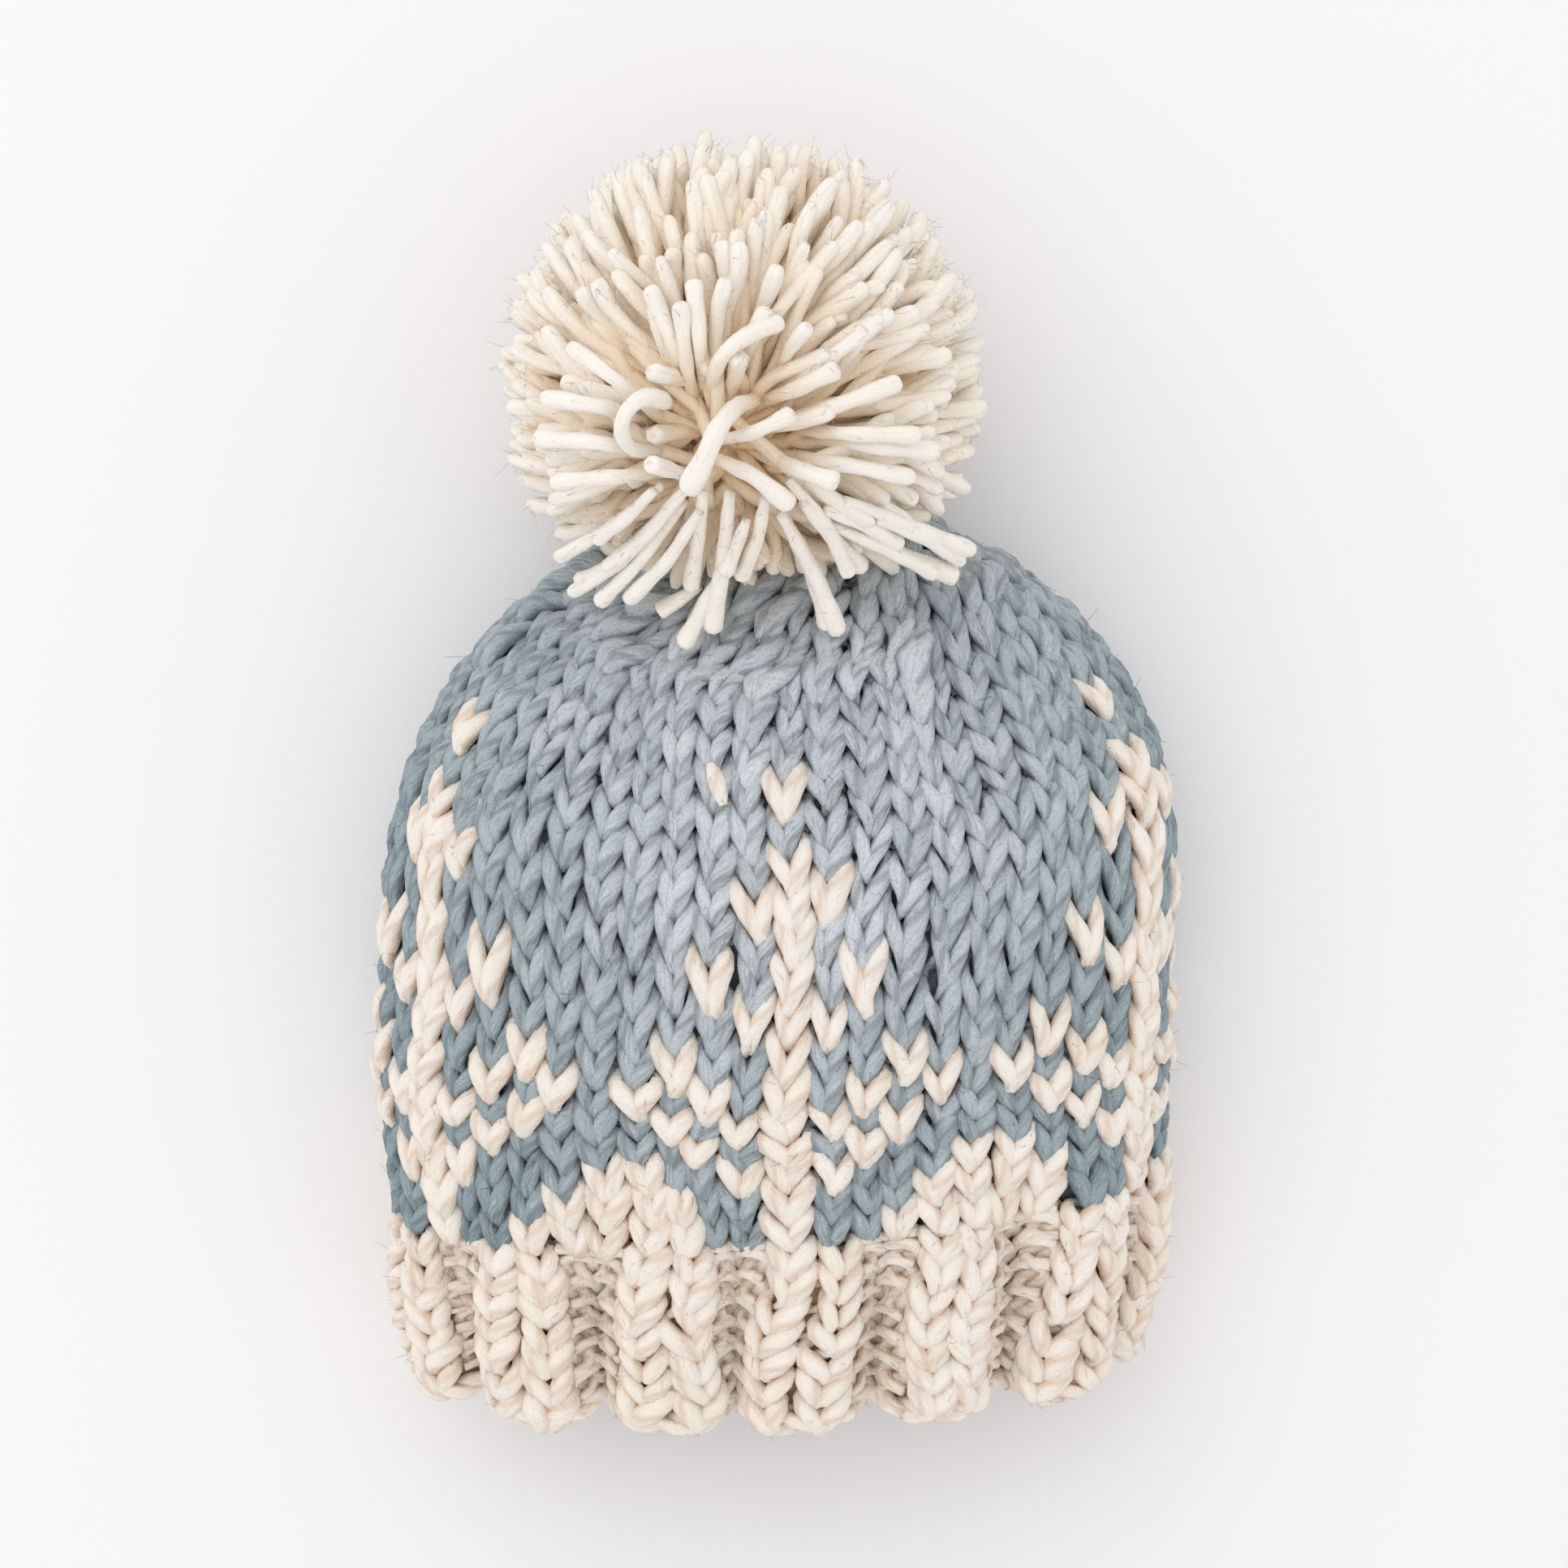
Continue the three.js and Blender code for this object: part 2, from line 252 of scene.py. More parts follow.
# The crown's rows lie at shares of each column's length: closer together above the rib, opening up over
# the trees and closing towards the tip. The rib's valleys run out over the lowest rows.
def crownPatch():
    columns = knit["crownColumns"]
    c = np.linspace(0, columns, columns * fineness["perColumn"] + 1)
    body = np.linspace(0, 1, fineness["bodyStations"])
    stations = np.concatenate([body, 1 + np.linspace(0, 1, fineness["domeStations"])[1:]])
    shares = np.broadcast_to(knit["trunkShare"] + c / columns, (len(stations), len(c)))
    turn = (np.clip(stations - 1, 0, 1) * np.pi / 2)[:, None]
    line = (0.5 + 0.5 * np.cos(2 * np.pi * knit["sectors"] * c / columns))[None, :]
    sink = hat["gatherDepth"] * line ** 2 * np.sin(turn) * np.sin(2 * turn)
    aside = np.mod(c + columns / 2, columns) - columns / 2
    inReach = np.clip(knit["valleyReach"] - np.abs(aside), 0, knit["valleyFade"])
    valley = ribValleys(aside) * inReach / knit["valleyFade"]
    runOut = np.clip(1 - stations / knit["valleyRise"], 0, 1)[:, None] ** 2
    sink = sink + hat["valleyAboveRib"] * valley[None, :] * runOut
    dense = wallPoints(stations, shares, sink, 0.0)
    length = summed(np.linalg.norm(np.diff(dense, axis=0), axis=-1), 0)
    length /= length[-1:]
    row = np.linspace(0, knit["crownRows"], knit["crownRows"] * fineness["perRow"] + 1)
    lastMark, lastShare = knit["rowMarks"][-1], knit["markShares"][-1]
    past = np.maximum(row - lastMark, 0)
    rest = knit["crownRows"] - lastMark
    closing = (lastShare + knit["pitchPast"] * rest - 1) / rest ** 2
    marked = np.interp(row, knit["rowMarks"], knit["markShares"])
    rows = marked + knit["pitchPast"] * past - closing * past ** 2
    even = np.empty((len(rows), len(c), 3))
    for k in range(len(c)):
        for axis in range(3):
            even[:, k, axis] = np.interp(rows, length[:, k], dense[:, k, axis])
    return makePatch(even, 0.0, 1 / fineness["perRow"], 0.0, 1 / fineness["perColumn"], columns)


# How the rib's knit pairs widen and its valleys deepen from its top down to the cast-on edge.
ribForm = {"spreadAtTop": 0.1, "spreadGain": 0.24, "depthAtTop": 0.48, "depthGain": 0.52, "deepening": 1.8}


# The rib's columns follow the crown's over the front and spread a little over the back. A sine of the
# column widens its knit pairs and narrows its purl pairs, which sink towards the cast-on edge.
def ribPatch():
    columns = knit["ribColumns"]
    half = columns / 2
    front = half / 2
    c = np.linspace(-half, half, columns * fineness["perColumn"] + 1)[None, :]
    past = fineness["ribPast"]
    stations = np.linspace(-past, 0, round(past / fineness["ribStep"]) + 1)
    edge = np.clip(-stations, 0, past)[:, None]
    spread = ribForm["spreadAtTop"] + ribForm["spreadGain"] * np.sin(np.clip(edge, 0, 1) * np.pi / 2)
    drawn = c + spread * np.sin(2 * np.pi * (c - knit["pairMiddle"]) / knit["ribRepeat"])
    size = np.abs(drawn)
    frontShare = front / knit["crownColumns"]
    backPitch = (0.5 - frontShare) / (half - front)
    share = np.where(size <= front, size / knit["crownColumns"], frontShare + (size - front) * backPitch)
    shares = knit["trunkShare"] + np.sign(drawn) * share
    valley = ribValleys(c)
    deeper = np.sin(np.clip(edge * ribForm["deepening"], 0, 1) * np.pi / 2)
    depth = ribForm["depthAtTop"] + ribForm["depthGain"] * deeper
    puff = np.sin(np.clip(edge, 0, 1) * np.pi) * (1 - valley)
    sink = hat["ribDepth"] * valley * depth - hat["ribPuff"] * puff
    lift = hat["scallopDepth"] * valley * edge ** 3
    points = wallPoints(stations, shares, sink, lift)
    rowStep = knit["ribRows"] * fineness["ribStep"]
    return makePatch(points, -past * knit["ribRows"], rowStep, -half, 1 / fineness["perColumn"], columns)


# Yarn is two plies twisted together: its radius swells by a cosine that winds along it.
yarn = {
    "plies": 2,
    "twistPerCm": 1.1,
    "lobe": 0.07,
    "offsetCm": 7.3,  # sets each tube's pattern off from the others', by its shade
    "restShare": 1.08,  # how many radii its middle keeps above the table
}


# A finished mesh as a smooth piece of the scene.
def linkedPiece(name, mesh, material):
    mesh.polygons.foreach_set("use_smooth", np.ones(len(mesh.polygons), dtype=bool))
    mesh.materials.append(material)
    piece = bpy.data.objects.new(name, mesh)
    bpy.context.scene.collection.objects.link(piece)
    return piece


# Closed tubes as one mesh: rings of a lobed section along each path, closed by end faces. The UV map
# holds the way round and the length along the yarn in centimetres; an attribute holds each tube's shade.
def tubeMesh(name, centres, sideways, upwards, radius, sides, lobe, shade, material):
    count, steps = centres.shape[:2]
    length = summed(np.linalg.norm(np.diff(centres, axis=1), axis=-1), 1)
    lengthCm = length * 100 + shade[:, None] * yarn["offsetCm"]
    turns = np.arange(sides) / sides
    angle = turns * 2 * np.pi
    winding = turns * yarn["plies"] + lengthCm[:, :, None] * yarn["twistPerCm"]
    swell = radius[:, :, None] * (1 + lobe * np.cos(2 * np.pi * winding))
    ring = np.cos(angle)[:, None] * sideways[:, :, None, :] + np.sin(angle)[:, None] * upwards[:, :, None, :]
    points = centres[:, :, None, :] + ring * swell[..., None]
    total = count * steps * sides
    base = (np.arange(count) * steps * sides)[:, None, None]
    near = base + (np.arange(steps - 1) * sides)[None, :, None]
    far = near + sides
    column = np.arange(sides)[None, None, :]
    following = (column + 1) % sides
    corners = [near + column, near + following, far + following, far + column]
    quads = np.stack(corners, axis=-1).reshape(-1, 4)
    first = base[:, 0, :] + np.arange(sides)[::-1]
    last = base[:, 0, :] + (steps - 1) * sides + np.arange(sides)
    caps = np.concatenate([first, last])
    mesh = bpy.data.meshes.new(name)
    mesh.vertices.add(total)
    mesh.vertices.foreach_set("co", points.reshape(-1).astype(np.float32))
    loops = np.concatenate([quads.reshape(-1), caps.reshape(-1)])
    starts = np.concatenate([np.arange(len(quads)) * 4, len(quads) * 4 + np.arange(len(caps)) * sides])
    mesh.loops.add(len(loops))
    mesh.polygons.add(len(starts))
    mesh.loops.foreach_set("vertex_index", loops.astype(np.int32))
    mesh.polygons.foreach_set("loop_start", starts.astype(np.int32))
    along = np.broadcast_to(lengthCm[:, :, None], (count, steps, sides)).reshape(-1)
    around = np.broadcast_to(turns[None, None, :], (count, steps, sides)).reshape(-1)
    quadAround = around[quads]
    quadAround[:, 1] = np.where(quadAround[:, 1] < quadAround[:, 0], 1.0, quadAround[:, 1])
    quadAround[:, 2] = np.where(quadAround[:, 2] < quadAround[:, 3], 1.0, quadAround[:, 2])
    loopAround = np.concatenate([quadAround.reshape(-1), around[caps.reshape(-1)]])
    uv = np.stack([loopAround, along[loops]], axis=-1)
    layer = mesh.uv_layers.new(name="yarn")
    layer.data.foreach_set("uv", uv.reshape(-1).astype(np.float32))
    tone = mesh.attributes.new("tone", "FLOAT", "POINT")
    tone.data.foreach_set("value", np.repeat(shade, steps * sides).astype(np.float32))
    mesh.update(calc_edges=True)
    mesh.validate()
    return linkedPiece(name, mesh, material)


# The runs of yarn that the loose fibres later grow from.
yarnRuns = []


# Tubes of lobed yarn, kept as a run of yarn as well.
def yarnMesh(name, centres, sideways, upwards, radius, sides, shade, wool):
    yarnRuns.append((wool, centres, sideways, upwards, radius))
    return tubeMesh(name, centres, sideways, upwards, radius, sides, yarn["lobe"], shade, wool)


# Tangent along each path, and two directions across it, the second nearest to the given outward way.
def pathFrames(centres, outward):
    tangent = unit(np.gradient(centres, axis=1))
    sideways = unit(np.cross(tangent, outward))
    return sideways, np.cross(sideways, tangent)


# Loops of yarn: for t from 0 to a full turn a loop runs x = t/turn + A sin 2t + B sin t across its column,
# y = -H cos t up its row and z = -D cos 2t through the cloth, so its two legs come to the front
# and its head and foot stay behind; a purl loop is the same turned inside out. Each leg's foot leans
# forwards over the loop below and its top leans back under the loop above. The jitters are in columns
# and rows, and a purl loop has a smaller share of them.
loop = {
    "steps": 21,
    "sides": 7,
    "crossing": 0.298,
    "drawnIn": 0.035,
    "rise": 1.0,
    "depth": 0.0017,
    "depthLean": 0.001,
    "yarnRadius": 0.00147,
    "legFullness": 0.38,
    "legUneven": 0.06,
    "rightFuller": 0.04,
    "wobble": 0.08,
    "purlJitterShare": 0.4,
    "tiltJitter": 0.07,
    "columnJitter": 0.04,
    "rowJitter": 0.06,
    "legJitter": 0.07,
}

# Slow drift of the stitches off their grid, as sums of sine waves that close round the hat.
driftTurns = rng.integers(1, knit["driftTurns"], knit["driftWaves"])
driftAlong = rng.uniform(-knit["driftAlong"], knit["driftAlong"], knit["driftWaves"])
driftPhase = rng.uniform(0, 2 * np.pi, (3, knit["driftWaves"]))


# Each drift is the sum of its waves at columns c and rows v.
def driftAt(c, v, columns):
    angle = 2 * np.pi * c[..., None] * driftTurns / columns + v[..., None] * driftAlong
    size = np.sqrt(2 / knit["driftWaves"])
    return [size * np.sin(angle + phase).sum(axis=-1) for phase in driftPhase]


# One loop for each stitch, worked out as above in columns, rows and height, and laid on a patch.
def knitLoops(name, patch, stitches, material):
    count = len(stitches["column"])
    t = np.linspace(0, 2 * np.pi, loop["steps"])[None, :]

    def varied(amount):
        return 1 + amount * rng.standard_normal((count, 1))

    uneven = np.where(stitches["purl"], loop["purlJitterShare"], 1.0)[:, None]

    def jitter(amount):
        return amount * uneven * rng.standard_normal((count, 1))

    crossing = loop["crossing"] * stitches["open"][:, None] * varied(loop["wobble"])
    rise = loop["rise"] * varied(loop["wobble"])
    x = t / (2 * np.pi) - 0.5 + crossing * np.sin(2 * t) + loop["drawnIn"] * np.sin(t)
    y = -rise * np.cos(t)
    z = -loop["depth"] * np.cos(2 * t) * np.where(stitches["purl"], -1, 1)[:, None]
    leaning = loop["depthLean"] * np.where(stitches["purl"], 0, 1)[:, None] * np.cos(t) * np.abs(np.sin(t))
    z = z + leaning + stitches["lift"][:, None] * np.sin(t) ** 2
    middle = stitches["column"][:, None]
    towards = np.where(y > 0, stitches["above"][:, None] - middle, middle - stitches["below"][:, None])
    side = np.where(t < np.pi, 1.0, -1.0)
    c = middle + x * stitches["width"][:, None] + (towards + jitter(loop["tiltJitter"])) * y
    c = c + jitter(loop["columnJitter"])
    v = stitches["row"][:, None] + y + jitter(loop["rowJitter"])
    v = v + side * np.sin(t) ** 2 * jitter(loop["legJitter"])
    driftC, driftV, driftZ = driftAt(c, v, patch["columns"])
    c = c + knit["driftColumns"] * driftC
    v = v + knit["driftRows"] * driftV * np.clip(np.abs(v) / 2, 0, 1)
    z = z + knit["driftDepth"] * driftZ
    centres, outward = onPatch(patch, c, v, z)
    legShare = side * (loop["legUneven"] * rng.standard_normal((count, 1)) - loop["rightFuller"])
    fullness = 1 - loop["legFullness"] * np.cos(2 * t) + legShare
    radius = loop["yarnRadius"] * stitches["fat"][:, None] * fullness * varied(loop["wobble"])
    centres[..., 2] = np.maximum(centres[..., 2], radius * yarn["restShare"])
    sideways, upwards = pathFrames(centres, outward)
    return yarnMesh(name, centres, sideways, upwards, radius, loop["sides"], rng.random(count), material)


# A row of stitches, each with its column, those above and below it, its width and what is special
# about it: how open, lifted and fat its loop is, and whether it is a purl.
def stitchRow(columns, row, **special):
    even = np.ones(len(columns))
    stitches = {"column": columns, "row": row * even, "above": columns, "below": columns, "width": even}
    stitches.update({"open": even, "purl": even < 0, "lift": 0 * even, "fat": even})
    stitches.update(special)
    return stitches


def stitchArrays(rows):
    return {key: np.concatenate([row[key] for row in rows]) for key in rows[0]}


def pick(stitches, mask):
    return {key: value[mask] for key, value in stitches.items()}


# How a lone cream stitch stands out and how blue ones beside cream are crowded.
colourwork = {
    "loneOpen": 1.12,
    "loneLift": 0.0008,
    "creamFat": 1.06,
    "crowdedLift": -0.0006,
    "crowdedFat": 0.93,
}


# Rows of plain columns, coloured from the chart.
def patternStitches():
    rows = []
    columns = np.arange(knit["crownColumns"]) - knit["crownColumns"] // 2
    for i in range(knit["patternRows"]):
        line = chart[knit["patternRows"] - 1 - i]
        cream = np.array([line[c % knit["treeSpacing"]] == "x" for c in columns])
        crowded = ~cream & (np.roll(cream, 1) | np.roll(cream, -1))
        alone = cream & ~np.roll(cream, 1) & ~np.roll(cream, -1)
        lift = np.where(crowded, colourwork["crowdedLift"], 0.0)
        fat = np.where(crowded, colourwork["crowdedFat"], 1.0)
        rows.append(stitchRow(
            columns.astype(float),
            i + 0.5,
            open=np.where(alone, colourwork["loneOpen"], 1.0),
            lift=np.where(alone, colourwork["loneLift"], lift),
            fat=np.where(cream, colourwork["creamFat"], fat),
            cream=cream,
        ))
    return stitchArrays(rows)


# Where a stitch of a dome row lies: sector by sector, the ring's columns shared out evenly, and turned a
# little further with each row.
def domeColumn(i, sector, j):
    counts = knit["domeSectorStitches"]
    n = counts[min(i, len(counts) - 1)]
    perSector = knit["crownColumns"] / knit["sectors"]
    twist = knit["domeTwist"] * max(i - 2, 0)
    return perSector * (sector + (min(j, n - 1) + 0.5) / n) + 0.5 - perSector + twist


# The dome's rows, with fewer stitches in each sector as it closes. Each sector's last stitch but one
# lies over its last and is fuller, so that the decreases stand out as chains.
decrease = {"overOpen": 0.8, "overLift": 0.0015, "overFat": 1.16, "underLift": -0.0009, "underFat": 0.9}


def domeStitches():
    counts = knit["domeSectorStitches"]
    rows = []
    for i in range(len(counts)):
        n = counts[i]
        sector, j = np.divmod(np.arange(n * knit["sectors"]), n)
        middle = np.array([domeColumn(i, s, k) for s, k in zip(sector, j)])
        above = np.array([domeColumn(i + 1, s, k) for s, k in zip(sector, j)])
        below = np.array([domeColumn(max(i - 1, 0), s, k) for s, k in zip(sector, j)])
        over = (i > 0) & (n > 1) & (j == n - 2)
        under = (i > 0) & (n > 1) & (j == n - 1)
        lift = np.where(under, decrease["underLift"], 0.0)
        fat = np.where(under, decrease["underFat"], 1.0)
        rows.append(stitchRow(
            middle,
            knit["patternRows"] + i + 0.5,
            above=above,
            below=below,
            width=np.full(len(j), knit["crownColumns"] / knit["sectors"] / n),
            open=np.where(over, decrease["overOpen"], 1.0),
            lift=np.where(over, decrease["overLift"], lift),
            fat=np.where(over, decrease["overFat"], fat),
        ))
    return stitchArrays(rows)


# The rib's stitches in pairs, with the purl ones wider open and a little higher up.
ribPairs = {"purlRaise": 0.3, "purlOpen": 1.15, "knitOpen": 0.94, "purlFat": 1.06, "knitFat": 1.12}


def ribStitches():
    rows = []
    columns = np.arange(knit["ribColumns"]) - knit["ribColumns"] // 2
    purl = (columns % knit["ribRepeat"]) >= knit["ribRepeat"] // 2
    for i in range(knit["ribRows"]):
        rows.append(stitchRow(
            columns.astype(float),
            i + 0.5 - knit["ribRows"] + ribPairs["purlRaise"] * purl,
            purl=purl,
            open=np.where(purl, ribPairs["purlOpen"], ribPairs["knitOpen"]),
            fat=np.where(purl, ribPairs["purlFat"], ribPairs["knitFat"]),
        ))
    return stitchArrays(rows)


print("surface of the hat")
crown = crownPatch()
rib = ribPatch()


# What all the wools share: the scales of their noises, where each begins to show and how much it makes of
# the relief, and the slope and start of the painted shade on the flanks and the sharpness of that in the
# grooves.
woolForm = {
    "streaks": 24.0,
    "streakSlant": 0.35,
    "streakStretch": 0.16,
    "streakGain": 6,
    "darkFrom": 0.5,
    "paleFrom": 0.44,
    "mottle": 28.0,
    "mottleFrom": 0.35,
    "grain": 1900.0,
    "grainFrom": 0.47,
    "grainGain": 5,
    "grooveShadeSharpness": 5.0,
    "flankShadeSlope": 1.2,
    "flankShadeStart": 0.9,
    "grooveHeight": 0.6,
    "streakHeight": 1.2,
    "grainHeight": 1.3,
}


# Wool seen close: ply grooves that wind round the yarn, with painted shade in them, streaks of fibre along
# it, a fine grain, a tone for each stitch, painted shade on the flanks, which come out darker than the side
# that faces outwards, broad mottling over the hat and a tint that grows towards a place or away from one,
# which is painted shade on the blue wool and the pompom. Colours are the yarn's light, middle, cool, shaded
# and pale tones, the shaded one both the painted shade's colour and that of dark streaks and grain;
# strengths are shares from 0 to 1, apart from the relief, which is in millimetres.
def woolMaterial(name, colours, strengths, tint):
    material = bpy.data.materials.new(name)
    material.use_nodes = True
    nodes = material.node_tree.nodes
    links = material.node_tree.links
    nodes.clear()
    output = nodes.new("ShaderNodeOutputMaterial")
    wool = nodes.new("ShaderNodeBsdfPrincipled")
    wool.inputs["Roughness"].default_value = 0.94
    wool.inputs["Specular IOR Level"].default_value = 0.12
    wool.inputs["Sheen Weight"].default_value = strengths["sheen"]
    wool.inputs["Sheen Roughness"].default_value = 0.4
    wool.inputs["Sheen Tint"].default_value = (*colours["light"], 1.0)
    links.new(wool.outputs["BSDF"], output.inputs["Surface"])

    def math(operation, first, second=None, third=None, clamp=False):
        node = nodes.new("ShaderNodeMath")
        node.operation = operation
        node.use_clamp = clamp
        for slot, value in zip(node.inputs, (first, second, third)):
            if value is None:
                continue
            if isinstance(value, (int, float)):
                slot.default_value = value
            else:
                links.new(value, slot)
        return node.outputs[0]

    def colourMix(factor, first, second):
        node = nodes.new("ShaderNodeMix")
        node.data_type = "RGBA"
        links.new(factor, node.inputs["Factor"])
        for slot, value in (("A", first), ("B", second)):
            if isinstance(value, tuple):
                node.inputs[slot].default_value = (*value, 1.0)
            else:
                links.new(value, node.inputs[slot])
        return node.outputs["Result"]

    def above(value, threshold, gain):
        return math("MULTIPLY", math("SUBTRACT", value, threshold), gain, clamp=True)

    def mixedIn(colour, share, strength, tone):
        return colourMix(math("MULTIPLY", share, strength), colour, tone)

    def noise(place, scale, detail):
        node = nodes.new("ShaderNodeTexNoise")
        node.inputs["Scale"].default_value = scale
        node.inputs["Detail"].default_value = detail
        links.new(place, node.inputs["Vector"])
        return node.outputs["Fac"]

    uv = nodes.new("ShaderNodeUVMap")
    uv.uv_map = "yarn"
    parts = nodes.new("ShaderNodeSeparateXYZ")
    links.new(uv.outputs["UV"], parts.inputs[0])
    around, along = parts.outputs[0], parts.outputs[1]
    plyTurns = math("MULTIPLY", around, float(yarn["plies"]))
    winding = math("ADD", plyTurns, math("MULTIPLY", along, yarn["twistPerCm"]))
    groove = math("SINE", math("MULTIPLY", winding, 2 * np.pi))

    stretched = nodes.new("ShaderNodeCombineXYZ")
    links.new(math("ADD", around, math("MULTIPLY", along, woolForm["streakSlant"])), stretched.inputs[0])
    links.new(math("MULTIPLY", along, woolForm["streakStretch"]), stretched.inputs[1])
    fibres = noise(stretched.outputs[0], woolForm["streaks"], 3.0)
    place = nodes.new("ShaderNodeTexCoord").outputs["Object"]
    broad = noise(place, woolForm["mottle"], 2.0)
    fine = noise(place, woolForm["grain"], 3.0)

    distance = nodes.new("ShaderNodeVectorMath")
    distance.operation = "DISTANCE"
    scaled = nodes.new("ShaderNodeVectorMath")
    scaled.operation = "MULTIPLY"
    scaled.inputs[1].default_value = tint["scale"]
    links.new(place, scaled.inputs[0])
    links.new(scaled.outputs[0], distance.inputs[0])
    distance.inputs[1].default_value = [a * b for a, b in zip(tint["centre"], tint["scale"])]
    span = tint["full"] - tint["none"]
    tinted = math("MULTIPLY_ADD", distance.outputs["Value"], 1 / span, -tint["none"] / span, clamp=True)

    tone = nodes.new("ShaderNodeAttribute")
    tone.attribute_name = "tone"
    colour = colourMix(tone.outputs["Fac"], colours["middle"], colours["light"])
    mottled = above(broad, woolForm["mottleFrom"], strengths["mottle"])
    colour = colourMix(mottled, colour, colours["cool"])
    # The tint is painted shade on the blue wool, darker and more teal towards the hat's sides where the
    # crown curves away, and on the pompom, warmer and darker deep inside the ball; on the cream wool it
    # warms and darkens it a little away from the hat's middle.
    colour = mixedIn(colour, tinted, tint["strength"], tint["colour"])
    # Painted shade: the yarn's flanks, away from the side that faces outwards, are mixed towards the shaded
    # tone.
    facing = math("SINE", math("MULTIPLY", around, 2 * np.pi))
    flankShade = math("MULTIPLY_ADD", facing, -woolForm["flankShadeSlope"], woolForm["flankShadeStart"], clamp=True)
    colour = mixedIn(colour, flankShade, strengths["flankShade"], colours["shade"])
    # Painted shade in the ply grooves, whose winding also makes the relief below.
    grooveShade = math("POWER", math("MULTIPLY_ADD", groove, -0.5, 0.5), woolForm["grooveShadeSharpness"])
    colour = mixedIn(colour, grooveShade, strengths["groove"], colours["shade"])
    streakGain = strengths["streak"] * woolForm["streakGain"]
    dark = above(fibres, woolForm["darkFrom"], streakGain)
    colour = mixedIn(colour, dark, strengths["streak"], colours["shade"])
    pale = above(woolForm["paleFrom"], fibres, streakGain)
    colour = mixedIn(colour, pale, strengths["streak"], colours["pale"])
    grain = above(fine, woolForm["grainFrom"], woolForm["grainGain"] * strengths["grain"])
    colour = mixedIn(colour, grain, strengths["grain"], colours["shade"])
    links.new(colour, wool.inputs["Base Color"])

    streaked = math("MULTIPLY", fibres, woolForm["streakHeight"])
    height = math("ADD", math("MULTIPLY", groove, woolForm["grooveHeight"]), streaked)
    height = math("ADD", height, math("MULTIPLY", fine, woolForm["grainHeight"]))
    bump = nodes.new("ShaderNodeBump")
    bump.inputs["Strength"].default_value = 0.7
    bump.inputs["Distance"].default_value = strengths["relief"] / 1000
    links.new(height, bump.inputs["Height"])
    links.new(bump.outputs["Normal"], wool.inputs["Normal"])
    return material


# A colour given from 0 to 255, as the shader wants it.
def linear(red, green, blue):
    shares = np.array([red, green, blue]) / 255
    return tuple(np.where(shares <= 0.04045, shares / 12.92, ((shares + 0.055) / 1.055) ** 2.4).tolist())


# Where the ball's middle lies: a little to the left of the hat's axis, past the crown's tip and above it.
ball = {"aside": -0.007, "pastTip": 0.019, "height": 0.0475}
ballCentre = np.array([axisX + ball["aside"], jointY + hat["crownLength"] + ball["pastTip"], ball["height"]])

blueWool = woolMaterial("blueGreyWool", {
    "light": linear(229, 234, 239),
    "middle": linear(197, 205, 211),
    "cool": linear(182, 196, 202),
    "shade": linear(86, 98, 107),
    "pale": linear(245, 248, 251),
}, {
    "mottle": 1.0,
    "sheen": 0.08,
    # The flank and groove strengths set painted shade on the yarn's flanks and in its ply grooves.
    "flankShade": 0.6,
    "groove": 0.45,
    "streak": 0.52,
    "grain": 0.42,
    "relief": 0.45,
}, {
    # Painted shade: darker and more teal towards the hat's sides, where the crown curves away.
    "centre": (axisX, 0.0, 0.06),
    "scale": (1.0, 0.75, 0.0),
    "none": 0.025,
    "full": 0.085,
    "strength": 0.92,
    "colour": linear(150, 168, 175),
})
creamWool = woolMaterial("creamWool", {
    "light": linear(254, 249, 243),
    "middle": linear(251, 243, 233),
    "cool": linear(249, 242, 233),
    "shade": linear(206, 164, 124),
    "pale": linear(255, 252, 248),
}, {
    "mottle": 0.5,
    "sheen": 0.12,
    # The flank and groove strengths set painted shade on the yarn's flanks and in its ply grooves.
    "flankShade": 0.5,
    "groove": 0.36,
    "streak": 0.34,
    "grain": 0.14,
    "relief": 0.4,
}, {
    "centre": (axisX, 0.02, 0.06),
    "scale": (1.0, 1.0, 0.0),
    "none": 0.05,
    "full": 0.15,
    "strength": 0.3,
    "colour": linear(248, 236, 218),
})
pompomWool = woolMaterial("pompomWool", {
    "light": linear(255, 251, 244),
    "middle": linear(254, 247, 236),
    "cool": linear(253, 246, 235),
    "shade": linear(242, 220, 190),
    "pale": linear(255, 252, 248),
}, {
    "mottle": 0.4,
    "sheen": 0.6,
    # The groove strength sets painted shade in the ply grooves; the flanks get none.
    "flankShade": 0.0,
    "groove": 0.1,
    "streak": 0.26,
    "grain": 0.12,
    "relief": 0.26,
}, {
    # Painted shade: warmer and darker deeper inside the ball, between the strands.
    "centre": tuple(ballCentre.tolist()),
    "scale": (1.0, 1.0, 1.0),
    "none": 0.0475,
    "full": 0.031,
    "strength": 1.0,
    "colour": linear(252, 222, 178),
})


